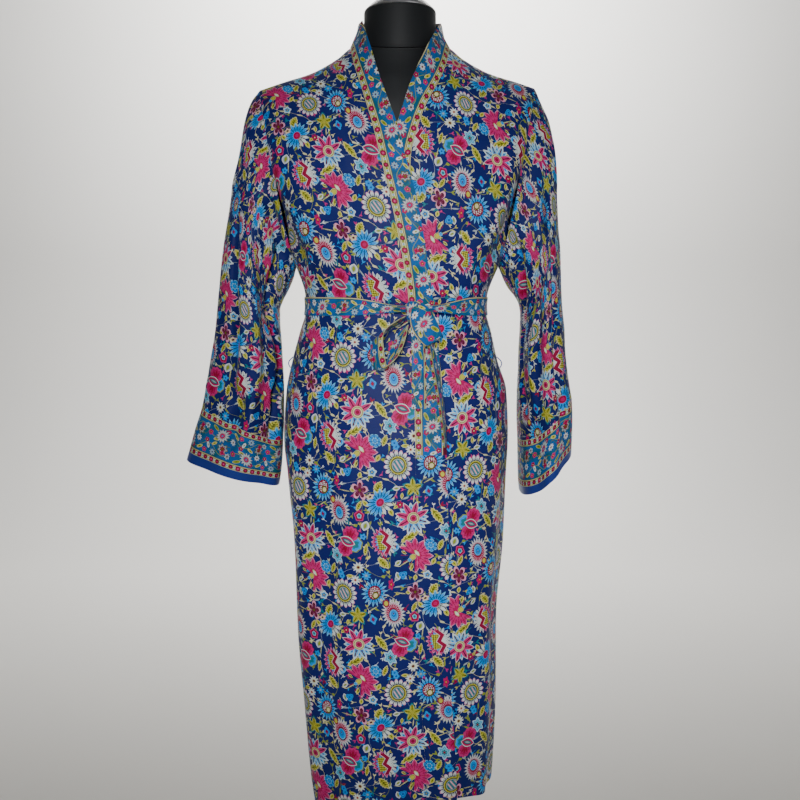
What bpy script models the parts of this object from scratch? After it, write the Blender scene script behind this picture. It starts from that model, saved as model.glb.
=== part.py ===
"""A long wrap robe of the kimono cut, tied with its own belt over a limbless dress form on a pole and base.

The robe is worked out from a table of rings round the figure and from the cut: back, two fronts that lap,
a neckband, dropped-shoulder sleeves with a border and a plain edge, and a belt with a bow.
Metres, +Z up, the front faces -Y, and the wearer's right is at -X. The floor is z = 0.
"""

import math
from collections import namedtuple

import bmesh
import bpy
import numpy as np

# Driving sizes of the robe
HEM = 0.150
UNDERARM = 1.055
SHOULDER_TIP = 1.338
CLOTH = 0.0016
BAND_CLOTH = 0.0024
BAND_PROUD = 0.0008
SEAM_GAP = 0.0004
LAP_LIFT = 0.0042
LAP_EDGE_FLARE = 0.0035
BELT_HEIGHT = 0.990
BELT_WIDTH = 0.030
BELT_CLOTH = 0.0024
BELT_SEAT = 0.0004
BELT_FRONT_SEAT = 0.0008
BELT_PINCH_REACH = 0.085
BELT_PINCH_SHARE = 0.58
BELT_PINCH_DROP = 0.004
KNOT_LEFT = 0.0345
KNOT_RIGHT = 0.0085
BELT_RISE_TO_KNOT = 0.008
BORDER_END = 0.768
BAND_COLUMNS = 4
STAND_FROM = 1.215
STAND_OVER = 0.080
NECK_SEAM_SEAT = 0.0007
CORNER = 0.82
LAP_SPREAD = 0.047
LAP_V_TOP = 1.310
LAP_V_REACH = 0.045
LAP_FLARE_TOP = 0.955
LAP_FLARE_REACH = 0.090
LAP_FLARE_WIDTH = 0.050
SLEEVE_ROUND = 0.85
CARRIER_TOP = 0.906
CARRIER_LOW = 0.888
CARRIER_OUT = 0.0052
CARRIER_SEAT = 0.0013
CARRIER_FORWARD = 0.004
THREAD = 0.0009

# Driving sizes of the dress form
NECK_RADIUS = 0.0585
NECK_CENTRE_Y = 0.012
NECK_TOP = 1.455
NECK_SEAM = 1.403
NECK_SEAM_SLOPE = 0.33
FORM_BELOW_SHOULDER = 0.0017
FORM_ROOM = 0.0045
FORM_CHEST_ROOM = 0.008
FORM_NARROWER = 0.035
FORM_WAIST_TOP = 1.025
FORM_COLUMNS = 19
FORM_BOTTOM = 0.640
NECK_SIDES = 28
CAP_HEIGHT = 0.030
POLE_RADIUS = 0.016
POLE_SIDES = 24
HUB_HEIGHT = 0.060
HUB_RADIUS = 0.024
BASE_RADIUS = 0.190
BASE_THICKNESS = 0.014

# Rings of the robe below the underarm: half widths to the wearer's right and left, and depths before and behind
Ring = namedtuple("Ring", "height right left front back")
RINGS = (
    Ring(0.150, 0.152, 0.157, 0.138, 0.170),
    Ring(0.200, 0.159, 0.162, 0.138, 0.170),
    Ring(0.326, 0.169, 0.166, 0.140, 0.168),
    Ring(0.466, 0.179, 0.165, 0.143, 0.166),
    Ring(0.606, 0.181, 0.175, 0.148, 0.166),
    Ring(0.717, 0.188, 0.178, 0.151, 0.168),
    Ring(0.772, 0.193, 0.180, 0.150, 0.168),
    Ring(0.852, 0.188, 0.176, 0.142, 0.158),
    Ring(0.904, 0.177, 0.160, 0.133, 0.142),
    Ring(0.944, 0.166, 0.151, 0.124, 0.122),
    Ring(0.990, 0.1540, 0.1404, 0.114, 0.106),
    Ring(1.012, 0.1560, 0.1440, 0.117, 0.108),
    Ring(1.055, 0.170, 0.161, 0.122, 0.114),
)

# Rings of the dress form below the underarm
FORM_RINGS = (
    Ring(0.640, 0.146, 0.146, 0.098, 0.112),
    Ring(0.655, 0.156, 0.156, 0.106, 0.120),
    Ring(0.720, 0.166, 0.166, 0.116, 0.138),
    Ring(0.790, 0.167, 0.167, 0.120, 0.142),
    Ring(0.880, 0.152, 0.146, 0.113, 0.125),
    Ring(0.990, 0.136, 0.128, 0.100, 0.092),
    Ring(1.055, 0.152, 0.150, 0.110, 0.104),
)

# The shoulder line: its height at a distance from the middle
Shoulder = namedtuple("Shoulder", "out height")
SHOULDERS = (
    Shoulder(0.000, 1.414),
    Shoulder(0.060, 1.411),
    Shoulder(0.080, 1.403),
    Shoulder(0.100, 1.387),
    Shoulder(0.145, 1.3635),
    Shoulder(0.190, 1.350),
    Shoulder(0.230, 1.337),
)
FORM_SHOULDERS = (
    Shoulder(0.000, 1.372),
    Shoulder(0.070, 1.372),
    Shoulder(0.090, 1.377),
    Shoulder(0.105, 1.3785),
    Shoulder(0.145, 1.3635),
    Shoulder(0.190, 1.350),
    Shoulder(0.230, 1.337),
)

# The slope from the chest up to the neck seam
Oval = namedtuple("Oval", "half deep middle height")
NECK_BASE = (
    Oval(0.1200, 0.0850, 0.010, 1.200),
    Oval(0.0980, 0.0830, 0.006, 1.290),
    Oval(0.0800, 0.0730, 0.008, 1.340),
    Oval(0.0680, 0.0660, 0.010, 1.372),
    Oval(0.0607, 0.0607, 0.012, 1.403),
)

# Shape of the shoulders, the back neck, the armholes and the fall of the chest and the back
SHOULDER_Y = 0.015
BACK_NECK_DEEP = 0.0685
BACK_NECK_HALF = 0.0805
ARMHOLE_ANGLE = 62.0
ARMHOLE_ROUND = 0.4
ARM_RIGHT = (0.170, 0.228)
ARM_LEFT = (0.161, 0.217)
FRONT_FALL = (2.2, 1.7)
BACK_FALL = (2.6, 2.0)

# How high the hem hangs round the figure: on the back and the over front, and on the under front
Hem = namedtuple("Hem", "angle height")
OVER_HEM = (
    Hem(-180.0, 0.150),
    Hem(-90.0, 0.143),
    Hem(0.0, 0.150),
    Hem(20.0, 0.154),
    Hem(90.0, 0.176),
    Hem(150.0, 0.153),
    Hem(180.0, 0.150),
)
UNDER_HEM = (
    Hem(-40.0, 0.204),
    Hem(0.0, 0.204),
    Hem(32.0, 0.196),
    Hem(55.0, 0.186),
    Hem(90.0, 0.176),
)
HEM_REACH = 0.200

# Front edges: x of the seam that joins the band to its front, and x of the band's free edge, by height
Edge = namedtuple("Edge", "height seam free")
OVER_EDGES = (
    Edge(0.150, 0.044, 0.090),
    Edge(0.250, 0.041, 0.087),
    Edge(0.400, 0.032, 0.078),
    Edge(0.768, 0.023, 0.069),
    Edge(0.895, 0.0206, 0.060),
    Edge(1.000, 0.0128, 0.0495),
    Edge(1.022, 0.0105, 0.0468),
    Edge(1.157, -0.0155, 0.0236),
    Edge(1.187, -0.0230, 0.0152),
    Edge(1.226, -0.0325, 0.0047),
    Edge(1.2645, -0.0420, -0.0060),
    Edge(1.300, -0.0525, -0.0215),
    Edge(1.327, -0.0605, -0.0312),
    Edge(1.360, -0.0705, -0.0420),
    Edge(1.402, -0.0800, -0.0560),
)
UNDER_EDGES = (
    Edge(0.150, -0.042, -0.088),
    Edge(0.400, -0.034, -0.080),
    Edge(0.768, -0.026, -0.070),
    Edge(1.000, -0.018, -0.060),
    Edge(1.100, -0.001, -0.040),
    Edge(1.183, 0.0145, -0.0225),
    Edge(1.216, 0.0165, -0.0157),
    Edge(1.2645, 0.0285, -0.0055),
    Edge(1.295, 0.0400, 0.0052),
    Edge(1.334, 0.0600, 0.0168),
    Edge(1.365, 0.0720, 0.0310),
    Edge(1.402, 0.0800, 0.0480),
)

# The band's free edge where it leaves the chest and stands up, by its seam's height, with x to its own side
Stand = namedtuple("Stand", "height free_x free_y free_z")
OVER_STAND = (
    Stand(1.2645, 0.0060, -0.1000, 1.2700),
    Stand(1.300, 0.0225, -0.0925, 1.3120),
    Stand(1.327, 0.0330, -0.0800, 1.3430),
    Stand(1.352, 0.0420, -0.0640, 1.3740),
    Stand(1.378, 0.0515, -0.0440, 1.4070),
    Stand(1.402, 0.0600, -0.0200, 1.4360),
)
UNDER_STAND = (
    Stand(1.2645, 0.0005, -0.0960, 1.2790),
    Stand(1.295, 0.0120, -0.0890, 1.3160),
    Stand(1.327, 0.0275, -0.0730, 1.3560),
    Stand(1.352, 0.0390, -0.0580, 1.3830),
    Stand(1.378, 0.0500, -0.0390, 1.4060),
    Stand(1.402, 0.0600, -0.0180, 1.4270),
)

# The band round the neck, from the shoulder's front to the centre back: x of its seam, and its free edge
NeckStation = namedtuple("NeckStation", "seam_x free_x free_y free_z")
NECK_STATIONS = (
    NeckStation(0.0775, 0.0675, 0.0300, 1.4470),
    NeckStation(0.0720, 0.0640, 0.0430, 1.4510),
    NeckStation(0.0580, 0.0525, 0.0590, 1.4540),
    NeckStation(0.0410, 0.0375, 0.0700, 1.4550),
    NeckStation(0.0210, 0.0195, 0.0765, 1.4550),
    NeckStation(0.0004, 0.0004, 0.0790, 1.4550),
)

# Soft folds in the robe's body: place round it, depth out (+) or in (-), half width, lowest and highest part
Fold = namedtuple("Fold", "angle depth width low high lean")
BODY_FOLDS = (
    Fold(-58.0, 0.0060, 10.0, 0.10, 0.93, -6.0),
    Fold(-35.0, -0.0045, 9.0, 0.10, 0.85, 4.0),
    Fold(-82.0, -0.0050, 9.0, 0.10, 0.70, 3.0),
    Fold(8.0, -0.0035, 10.0, 0.10, 0.80, 5.0),
    Fold(52.0, 0.0050, 8.0, 0.10, 0.74, -5.0),
    Fold(70.0, -0.0060, 9.0, 0.10, 0.86, 4.0),
    Fold(108.0, 0.0080, 10.0, 0.10, 0.90, 5.0),
    Fold(131.0, -0.0070, 9.0, 0.10, 0.84, -4.0),
    Fold(152.0, 0.0075, 10.0, 0.10, 0.92, 3.0),
    Fold(176.0, -0.0080, 10.0, 0.10, 0.93, 4.0),
    Fold(-160.0, 0.0070, 10.0, 0.10, 0.88, -5.0),
    Fold(-137.0, -0.0065, 9.0, 0.10, 0.82, 3.0),
    Fold(-112.0, 0.0075, 10.0, 0.10, 0.90, -4.0),
    Fold(-66.0, -0.0055, 9.0, 1.03, 1.22, -14.0),
    Fold(-50.0, 0.0050, 8.0, 1.04, 1.27, -16.0),
    Fold(64.0, -0.0055, 9.0, 1.03, 1.22, 14.0),
    Fold(48.0, 0.0050, 8.0, 1.04, 1.27, 16.0),
    Fold(140.0, 0.0055, 11.0, 1.03, 1.26, 8.0),
    Fold(-140.0, 0.0055, 11.0, 1.03, 1.26, -8.0),
    Fold(180.0, -0.0045, 12.0, 1.03, 1.22, 0.0),
)

# A sleeve's sections from the armhole to the cuff: outer and inner edge from the front, half depth, middle y
Section = namedtuple("Section", "out_x out_z in_x in_z depth middle")
RIGHT_SLEEVE = (
    Section(0.2285, 1.337, 0.1700, 1.055, 0.060, 0.010),
    Section(0.2405, 1.320, 0.1760, 1.038, 0.062, 0.011),
    Section(0.2520, 1.288, 0.1860, 1.016, 0.066, 0.012),
    Section(0.2600, 1.243, 0.1960, 0.998, 0.068, 0.013),
    Section(0.2710, 1.192, 0.2020, 0.980, 0.069, 0.013),
    Section(0.2810, 1.136, 0.2020, 0.958, 0.068, 0.012),
    Section(0.2910, 1.080, 0.2000, 0.934, 0.067, 0.011),
    Section(0.2990, 1.016, 0.1985, 0.906, 0.067, 0.010),
    Section(0.3066, 0.950, 0.1970, 0.874, 0.068, 0.009),
    Section(0.3150, 0.906, 0.1960, 0.842, 0.067, 0.008),
    Section(0.3230, 0.864, 0.1965, 0.803, 0.064, 0.007),
    Section(0.3318, 0.823, 0.1985, 0.766, 0.061, 0.006),
    Section(0.3440, 0.787, 0.2000, 0.735, 0.058, 0.005),
    Section(0.3550, 0.750, 0.2035, 0.702, 0.056, 0.004),
    Section(0.3600, 0.7345, 0.2060, 0.689, 0.055, 0.004),
)
LEFT_SLEEVE = (
    Section(0.2175, 1.331, 0.1610, 1.055, 0.060, 0.010),
    Section(0.2270, 1.318, 0.1690, 1.040, 0.064, 0.012),
    Section(0.2430, 1.285, 0.1800, 1.020, 0.070, 0.014),
    Section(0.2510, 1.241, 0.1920, 1.006, 0.076, 0.016),
    Section(0.2545, 1.190, 0.2010, 0.990, 0.080, 0.018),
    Section(0.2580, 1.130, 0.2050, 0.966, 0.084, 0.020),
    Section(0.2620, 1.070, 0.2045, 0.940, 0.087, 0.022),
    Section(0.2655, 1.005, 0.2035, 0.910, 0.090, 0.023),
    Section(0.2725, 0.950, 0.2030, 0.876, 0.091, 0.024),
    Section(0.2775, 0.902, 0.2015, 0.842, 0.091, 0.024),
    Section(0.2850, 0.856, 0.2015, 0.802, 0.090, 0.024),
    Section(0.2890, 0.834, 0.2030, 0.765, 0.088, 0.023),
    Section(0.2905, 0.798, 0.2040, 0.727, 0.087, 0.022),
    Section(0.2900, 0.7605, 0.2055, 0.686, 0.086, 0.021),
    Section(0.2895, 0.7465, 0.2070, 0.672, 0.086, 0.021),
)
BORDER_ROW = 11
PLAIN_EDGE_ROW = 13

# Folds along a sleeve: place round the tube from its outer edge, depth, half width, first and last row
SleeveFold = namedtuple("SleeveFold", "angle depth width first last")
RIGHT_SLEEVE_FOLDS = (
    SleeveFold(136.0, -0.010, 20.0, 2.0, 16.0),
    SleeveFold(95.0, 0.005, 22.0, 1.0, 9.0),
    SleeveFold(58.0, -0.006, 20.0, 5.0, 16.0),
    SleeveFold(300.0, -0.008, 20.0, 3.0, 16.0),
    SleeveFold(240.0, -0.008, 20.0, 3.0, 16.0),
)
LEFT_SLEEVE_FOLDS = (
    SleeveFold(125.0, -0.008, 20.0, 2.0, 16.0),
    SleeveFold(60.0, -0.005, 21.0, 4.0, 16.0),
    SleeveFold(298.0, -0.008, 20.0, 3.0, 16.0),
    SleeveFold(246.0, -0.008, 20.0, 3.0, 16.0),
)

# Ribbons of the bow: the middle of the ribbon, and the half-width vector across it
Station = namedtuple("Station", "x y z across_x across_y across_z")
OPEN_LOOP = (
    Station(0.0060, -0.1370, 0.9720, 0.0020, -0.0060, 0.0050),
    Station(-0.0090, -0.1480, 0.9640, 0.0030, -0.0110, 0.0055),
    Station(-0.0240, -0.1530, 0.9530, 0.0035, -0.0130, 0.0060),
    Station(-0.0335, -0.1530, 0.9425, 0.0080, -0.0110, 0.0040),
    Station(-0.0345, -0.1530, 0.9280, 0.0100, -0.0100, 0.0010),
    Station(-0.0335, -0.1530, 0.9120, 0.0110, -0.0090, 0.0020),
    Station(-0.0290, -0.1530, 0.9000, 0.0090, -0.0100, 0.0040),
    Station(-0.0205, -0.1530, 0.9000, 0.0060, -0.0110, 0.0060),
    Station(-0.0125, -0.1520, 0.9110, 0.0080, -0.0100, 0.0040),
    Station(-0.0050, -0.1500, 0.9280, 0.0095, -0.0090, 0.0030),
    Station(0.0020, -0.1460, 0.9460, 0.0080, -0.0070, 0.0030),
    Station(0.0080, -0.1400, 0.9600, 0.0050, -0.0040, 0.0030),
)
FLAP_LOOP = (
    Station(0.0240, -0.1513, 0.9915, 0.0080, 0.0010, 0.0050),
    Station(0.0290, -0.1600, 0.9790, 0.0140, 0.0020, 0.0090),
    Station(0.0350, -0.1640, 0.9650, 0.0160, 0.0020, 0.0100),
    Station(0.0430, -0.1640, 0.9510, 0.0150, 0.0020, 0.0090),
    Station(0.0500, -0.1605, 0.9410, 0.0125, 0.0020, 0.0080),
    Station(0.0510, -0.1560, 0.9410, 0.0120, 0.0020, 0.0080),
    Station(0.0460, -0.1530, 0.9480, 0.0120, 0.0010, 0.0080),
    Station(0.0400, -0.1515, 0.9570, 0.0100, 0.0010, 0.0070),
)
TAIL_RIGHT = (
    Station(0.0240, -0.1390, 0.9648, 0.0080, 0.0000, 0.0008),
    Station(0.0255, -0.1415, 0.9560, 0.0090, 0.0000, 0.0010),
    Station(0.0270, -0.1450, 0.9380, 0.0100, 0.0010, 0.0010),
    Station(0.0280, -0.1490, 0.9150, 0.0104, 0.0015, 0.0000),
    Station(0.0284, -0.1520, 0.8900, 0.0106, 0.0020, 0.0000),
    Station(0.0284, -0.1550, 0.8650, 0.0108, 0.0020, 0.0000),
    Station(0.0284, -0.1585, 0.8390, 0.0108, 0.0020, 0.0000),
)
TAIL_LEFT = (
    Station(0.0380, -0.1365, 0.9720, 0.0028, 0.0030, 0.0010),
    Station(0.0400, -0.1375, 0.9600, 0.0034, 0.0038, 0.0010),
    Station(0.0435, -0.1405, 0.9450, 0.0040, 0.0050, 0.0010),
    Station(0.0465, -0.1465, 0.9310, 0.0045, 0.0080, 0.0010),
    Station(0.0500, -0.1530, 0.9150, 0.0050, 0.0110, 0.0010),
    Station(0.0535, -0.1590, 0.8950, 0.0055, 0.0125, 0.0010),
    Station(0.0580, -0.1640, 0.8700, 0.0050, 0.0130, 0.0010),
    Station(0.0625, -0.1690, 0.8400, 0.0042, 0.0135, 0.0010),
    Station(0.0655, -0.1725, 0.8100, 0.0036, 0.0138, 0.0010),
    Station(0.0670, -0.1750, 0.7850, 0.0030, 0.0138, 0.0010),
)
KNOT_CENTRE = (0.0215, -0.1369, 0.9830)
KNOT_SIZE = (0.0250, 0.0246, 0.0330)
KNOT_ROUNDING = 0.0038

Finish = namedtuple("Finish", "red green blue roughness metallic")
FINISHES = {
    "print": Finish(0.030, 0.060, 0.230, 0.42, 0.0),
    "border": Finish(0.020, 0.170, 0.420, 0.42, 0.0),
    "plain": Finish(0.016, 0.036, 0.240, 0.42, 0.0),
    "jersey": Finish(0.010, 0.011, 0.013, 0.55, 0.0),
    "metal": Finish(0.62, 0.62, 0.64, 0.22, 1.0),
    "black metal": Finish(0.018, 0.018, 0.020, 0.40, 0.6),
}


# Helpers for curves through tables
def through(places, values, at):
    """A smooth curve through the values, level at their peaks, read at the given places."""
    x = np.asarray(places, float)
    y = np.asarray(values, float)
    slope = np.diff(y) / np.diff(x)
    tangent = np.zeros_like(y)
    product = slope[:-1] * slope[1:]
    total = slope[:-1] + slope[1:]
    same = product > 0
    tangent[1:-1][same] = 2 * product[same] / total[same]
    tangent[0] = slope[0]
    tangent[-1] = slope[-1]
    at = np.clip(np.asarray(at, float), x[0], x[-1])
    i = np.clip(np.searchsorted(x, at) - 1, 0, len(x) - 2)
    step = x[i + 1] - x[i]
    t = (at - x[i]) / step
    start = (1 + 2 * t) * (1 - t) ** 2 * y[i] + t * (1 - t) ** 2 * step * tangent[i]
    end = t**2 * (3 - 2 * t) * y[i + 1] - t**2 * (1 - t) * step * tangent[i + 1]
    return start + end


def column(table, by, name, at):
    """One named column of a table, read smoothly by another."""
    return through([getattr(row, by) for row in table], [getattr(row, name) for row in table], at)


def ease(value):
    """0 below 0, 1 above 1, and a smooth step between."""
    t = np.clip(value, 0.0, 1.0)
    return t * t * (3 - 2 * t)


# The figure's surface: rings below the underarm, and above it a front and a back sheet that meet on the shoulder
def rise_of(level):
    return np.clip((level - UNDERARM) / (SHOULDER_TIP - UNDERARM), 0.0, 1.0)


def armhole_angle(level):
    """The angle at which a front or back sheet ends: 90 degrees at the underarm, less up the armhole."""
    share = np.clip(rise_of(level) / ARMHOLE_ROUND, 0.0, 1.0)
    return np.radians(90.0 - (90.0 - ARMHOLE_ANGLE) * np.sin(share * math.pi / 2) ** 0.7)


def half_widths(level, rings):
    """Half widths to the wearer's right and left at a level."""
    rise = rise_of(level)
    grow = np.sin(armhole_angle(level)) ** CORNER
    above_right = (ARM_RIGHT[0] + (ARM_RIGHT[1] - ARM_RIGHT[0]) * rise) / grow
    above_left = (ARM_LEFT[0] + (ARM_LEFT[1] - ARM_LEFT[0]) * rise) / grow
    right = np.where(rise > 0, above_right, column(rings, "height", "right", level))
    left = np.where(rise > 0, above_left, column(rings, "height", "left", level))
    return right, left


def across(angle, level, rings=RINGS):
    """x at an angle from the middle: a superellipse whose half width turns from one side's to the other's."""
    right, left = half_widths(level, rings)
    half = (left + right) / 2 + (left - right) / 2 * np.sin(angle)
    return half * np.sign(np.sin(angle)) * np.abs(np.sin(angle)) ** CORNER


def fold_height(angle, level):
    """The soft folds: ridges and troughs with round sides, which fade at their two ends."""
    total = np.zeros(np.broadcast(angle, level).shape)
    for fold in BODY_FOLDS:
        along = (level - fold.low) / (fold.high - fold.low)
        centre = np.radians(fold.angle + fold.lean * (along - 0.5))
        apart = np.degrees(np.angle(np.exp(1j * (angle - centre))))
        ends = ease(along * 5.0) * ease((1.0 - along) * 3.0)
        if fold.low < HEM:
            ends = ease((1.0 - along) * 3.0)
        total = total + fold.depth * np.exp(-((apart / fold.width) ** 2)) * ends
    off_waist = ease((np.abs(level - BELT_HEIGHT) - BELT_WIDTH / 2) / 0.050)
    off_shoulder = 1 - ease((rise_of(level) - 0.75) / 0.2)
    return total * off_waist * off_shoulder


def figure(angle, level, rings=RINGS, shoulders=SHOULDERS):
    """A point at an angle round the figure, 0 at the front and 180 degrees at the back, and a level."""
    angle, level = np.broadcast_arrays(np.asarray(angle, float), np.asarray(level, float))
    back = np.cos(angle) < 0
    turned = np.where(back, np.sign(angle) * math.pi - angle, angle)
    rise = rise_of(level)
    x = across(turned, level, rings)
    deep = np.abs(np.cos(turned)) ** CORNER
    front_fall = (1 - rise ** FRONT_FALL[0]) ** (1 / FRONT_FALL[1])
    back_fall = (1 - rise ** BACK_FALL[0]) ** (1 / BACK_FALL[1])
    front = column(rings, "height", "front", level) * front_fall
    behind = column(rings, "height", "back", level) * back_fall
    neck_half = BACK_NECK_HALF + 0.5 * (1 - rise)
    neck_line = np.clip(1 - (x / neck_half) ** 2, 0, 1) ** (0.5 + 6 * (1 - rise))
    nape = np.where(back, BACK_NECK_DEEP * neck_line * rise**8, 0.0)
    y = SHOULDER_Y * rise**3 + nape + np.where(back, behind, -front) * deep
    top = column(shoulders, "out", "height", np.abs(x))
    z = np.where(rise > 0, UNDERARM + rise * (top - UNDERARM), level)
    return np.stack([x, y, z], axis=-1)


def figure_normal(angle, level, rings=RINGS):
    """The figure's outward direction, from two small steps over its surface."""
    step = 2e-4
    edge = math.pi / 2
    angle, level = np.broadcast_arrays(np.asarray(angle, float), np.asarray(level, float))
    low = np.where(np.abs(angle) < edge, np.maximum(angle - step, -edge), angle - step)
    high = np.where(np.abs(angle) < edge, np.minimum(angle + step, edge), angle + step)
    below = level - step
    above = np.minimum(level + step, SHOULDER_TIP)
    split = (level > UNDERARM) & (below <= UNDERARM)
    below = np.where(split, UNDERARM + 1e-6, below)
    round_it = figure(high, level, rings) - figure(low, level, rings)
    up_it = figure(angle, above, rings) - figure(angle, below, rings)
    normal = np.cross(round_it, up_it)
    return normal / np.linalg.norm(normal, axis=-1, keepdims=True)


def robe(angle, level, lift=0.0):
    """A point of the robe's outer face, folds included, and the direction out of it."""
    normal = figure_normal(angle, level)
    height = fold_height(angle, level) + lift
    return figure(angle, level) + normal * height[..., None], normal


def hung(angle, level, hems):
    """The level with the hem's unevenness in it, which fades upwards."""
    hem = column(hems, "angle", "height", np.degrees(angle))
    return level + (hem - HEM) * (1 - ease((level - HEM) / HEM_REACH))


def level_at(x, height):
    """The level whose sheet passes through a height at this x."""
    top = column(SHOULDERS, "out", "height", np.abs(x))
    rise = np.clip((height - UNDERARM) / (top - UNDERARM), 0.0, 1.0)
    return np.where(height > UNDERARM, UNDERARM + rise * (SHOULDER_TIP - UNDERARM), height)


def angle_at(x, level):
    """The angle on the front at which a level's ring crosses x."""
    angles = np.linspace(-math.pi / 2, math.pi / 2, 721)
    pairs = zip(np.ravel(x), np.ravel(level))
    return np.reshape([np.interp(px, across(angles, one), angles) for px, one in pairs], np.shape(x))


# Lap of the two fronts
def lap_lift(x, height):
    """How far the over front stands off, to clear the under front and its band."""
    under = column(UNDER_EDGES, "height", "free", height)
    over = column(OVER_EDGES, "height", "free", height)
    spread = ease((x - (under - LAP_SPREAD - 0.008)) / LAP_SPREAD)
    from_v = ease((LAP_V_TOP - height) / LAP_V_REACH)
    flare = ease((x - over) / LAP_FLARE_WIDTH + 1.0) * ease((LAP_FLARE_TOP - height) / LAP_FLARE_REACH)
    return LAP_LIFT * spread * from_v + LAP_EDGE_FLARE * flare


# Meshes
def make_object(name, points, faces, finish, smooth=True):
    mesh = bpy.data.meshes.new(name)
    mesh.from_pydata([tuple(map(float, point)) for point in points], [], faces)
    mesh.update()
    item = bpy.data.objects.new(name, mesh)
    collection.objects.link(item)
    give_finish(item, finish)
    if smooth:
        mesh.shade_smooth()
        mesh.set_sharp_from_angle(angle=math.radians(50))
    return item


def give_finish(item, name):
    key = f"{item.name} {name}"
    look = FINISHES[name]
    material = bpy.data.materials.new(key)
    material.use_nodes = True
    shader = material.node_tree.nodes["Principled BSDF"]
    shader.inputs["Base Color"].default_value = (look.red, look.green, look.blue, 1.0)
    shader.inputs["Roughness"].default_value = look.roughness
    shader.inputs["Metallic"].default_value = look.metallic
    item.data.materials.append(material)


def wall(name, outer, inner, finish, closed=False):
    """A closed wall between two grids of points, rows by columns. A closed one wraps round its columns.

    Both faces of a cell are split along the same diagonal, so that a twisted cell keeps its thickness.
    """
    rows, columns = outer.shape[:2]
    count = rows * columns
    points = np.concatenate([outer.reshape(-1, 3), inner.reshape(-1, 3)])
    faces = []
    last = columns if closed else columns - 1
    for i in range(rows - 1):
        for j in range(last):
            k = (j + 1) % columns
            a, b, c, d = i * columns + j, i * columns + k, (i + 1) * columns + k, (i + 1) * columns + j
            split = ((a, b, c), (a, c, d))
            if np.linalg.norm(points[b] - points[d]) < np.linalg.norm(points[a] - points[c]):
                split = ((a, b, d), (b, c, d))
            for triangle in split:
                faces.append(triangle)
                faces.append(tuple(number + count for number in reversed(triangle)))
    top = (rows - 1) * columns
    rims = [(j, (j + 1) % columns, True) for j in range(last)]
    rims += [(top + j, top + (j + 1) % columns, False) for j in range(last)]
    if not closed:
        rims += [(i * columns, (i + 1) * columns, False) for i in range(rows - 1)]
        rims += [((i + 1) * columns - 1, (i + 2) * columns - 1, True) for i in range(rows - 1)]
    for a, b, flipped in rims:
        for triangle in ((a, b, b + count), (a, b + count, a + count)):
            faces.append(triangle[::-1] if flipped else triangle)
    item = make_object(name, points, faces, finish)
    face_out(item)
    return item


def face_out(item):
    """Turns the faces outwards, after points that meet are made one."""
    shape = bmesh.new()
    shape.from_mesh(item.data)
    bmesh.ops.remove_doubles(shape, verts=shape.verts, dist=1e-6)
    bmesh.ops.recalc_face_normals(shape, faces=shape.faces)
    shape.to_mesh(item.data)
    shape.free()
    item.data.update()


def grid_normals(grid, closed=False):
    """Directions out of a grid, from the steps to its neighbours."""
    along = np.gradient(grid, axis=0)
    if closed:
        around = np.roll(grid, -1, axis=1) - np.roll(grid, 1, axis=1)
    else:
        around = np.gradient(grid, axis=1)
    normal = np.cross(around, along)
    return normal / np.linalg.norm(normal, axis=-1, keepdims=True)


# Pieces of the robe's body
LOWER_LEVELS = (0.150, 0.200, 0.260, 0.330, 0.400, 0.475, 0.550, 0.625, 0.700, BORDER_END, 0.820,
                0.865, 0.905, 0.935, 0.958, 0.974, 0.990, 1.006, 1.028, UNDERARM)
RISES = (0.06, 0.16, 0.30, 0.45, 0.59, 0.71, 0.81, 0.89, 0.95, 0.985, 1.0)
BACK_SHARES = (0.0, 0.045, 0.101, 0.154, 0.202, 0.2208, 0.2317, 0.304, 0.396, 0.500, 0.612,
               0.728, 0.856, 1.0)
LEVELS = np.array(LOWER_LEVELS + tuple(UNDERARM + rise * (SHOULDER_TIP - UNDERARM) for rise in RISES))


def seam_rows(edges):
    """For each level, the height and x at which its sheet meets the band's seam."""
    heights = []
    for level in LEVELS:
        height = float(level)
        for _ in range(12):
            x = float(column(edges, "height", "seam", height))
            top = float(column(SHOULDERS, "out", "height", abs(x)))
            rise = float(rise_of(level))
            height = UNDERARM + rise * (top - UNDERARM) if rise > 0 else float(level)
        heights.append(height)
    heights = np.array(heights)
    return heights, column(edges, "height", "seam", heights)


def front_panel(name, side, edges, hems, columns, lift_of):
    """A front, from its band seam to the side seam and the armhole. Side is -1 for the wearer's right."""
    _, seam_x = seam_rows(edges)
    start = angle_at(seam_x + side * SEAM_GAP / 2, LEVELS)
    share = np.linspace(0.0, 1.0, columns)
    angle = start[:, None] + (side * armhole_angle(LEVELS) - start)[:, None] * share[None]
    level = np.repeat(LEVELS[:, None], columns, axis=1)
    level = hung(angle, level, hems)
    base = figure(angle, level)
    outer, normal = robe(angle, level, lift_of(base[..., 0], base[..., 2]))
    outer[..., 1] -= np.where(sides_and_top(columns, (columns - 1,)), SEAM_GAP / 2, 0.0)
    return wall(name, outer, outer - normal * CLOTH, "print")


def sides_and_top(columns, side_columns):
    """Marks the points of a sheet on its side seams and on its shoulder seam."""
    at_side = (LEVELS <= UNDERARM)[:, None] & np.isin(np.arange(columns), side_columns)[None]
    at_top = (np.arange(len(LEVELS)) == len(LEVELS) - 1)[:, None]
    return at_side | at_top


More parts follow.
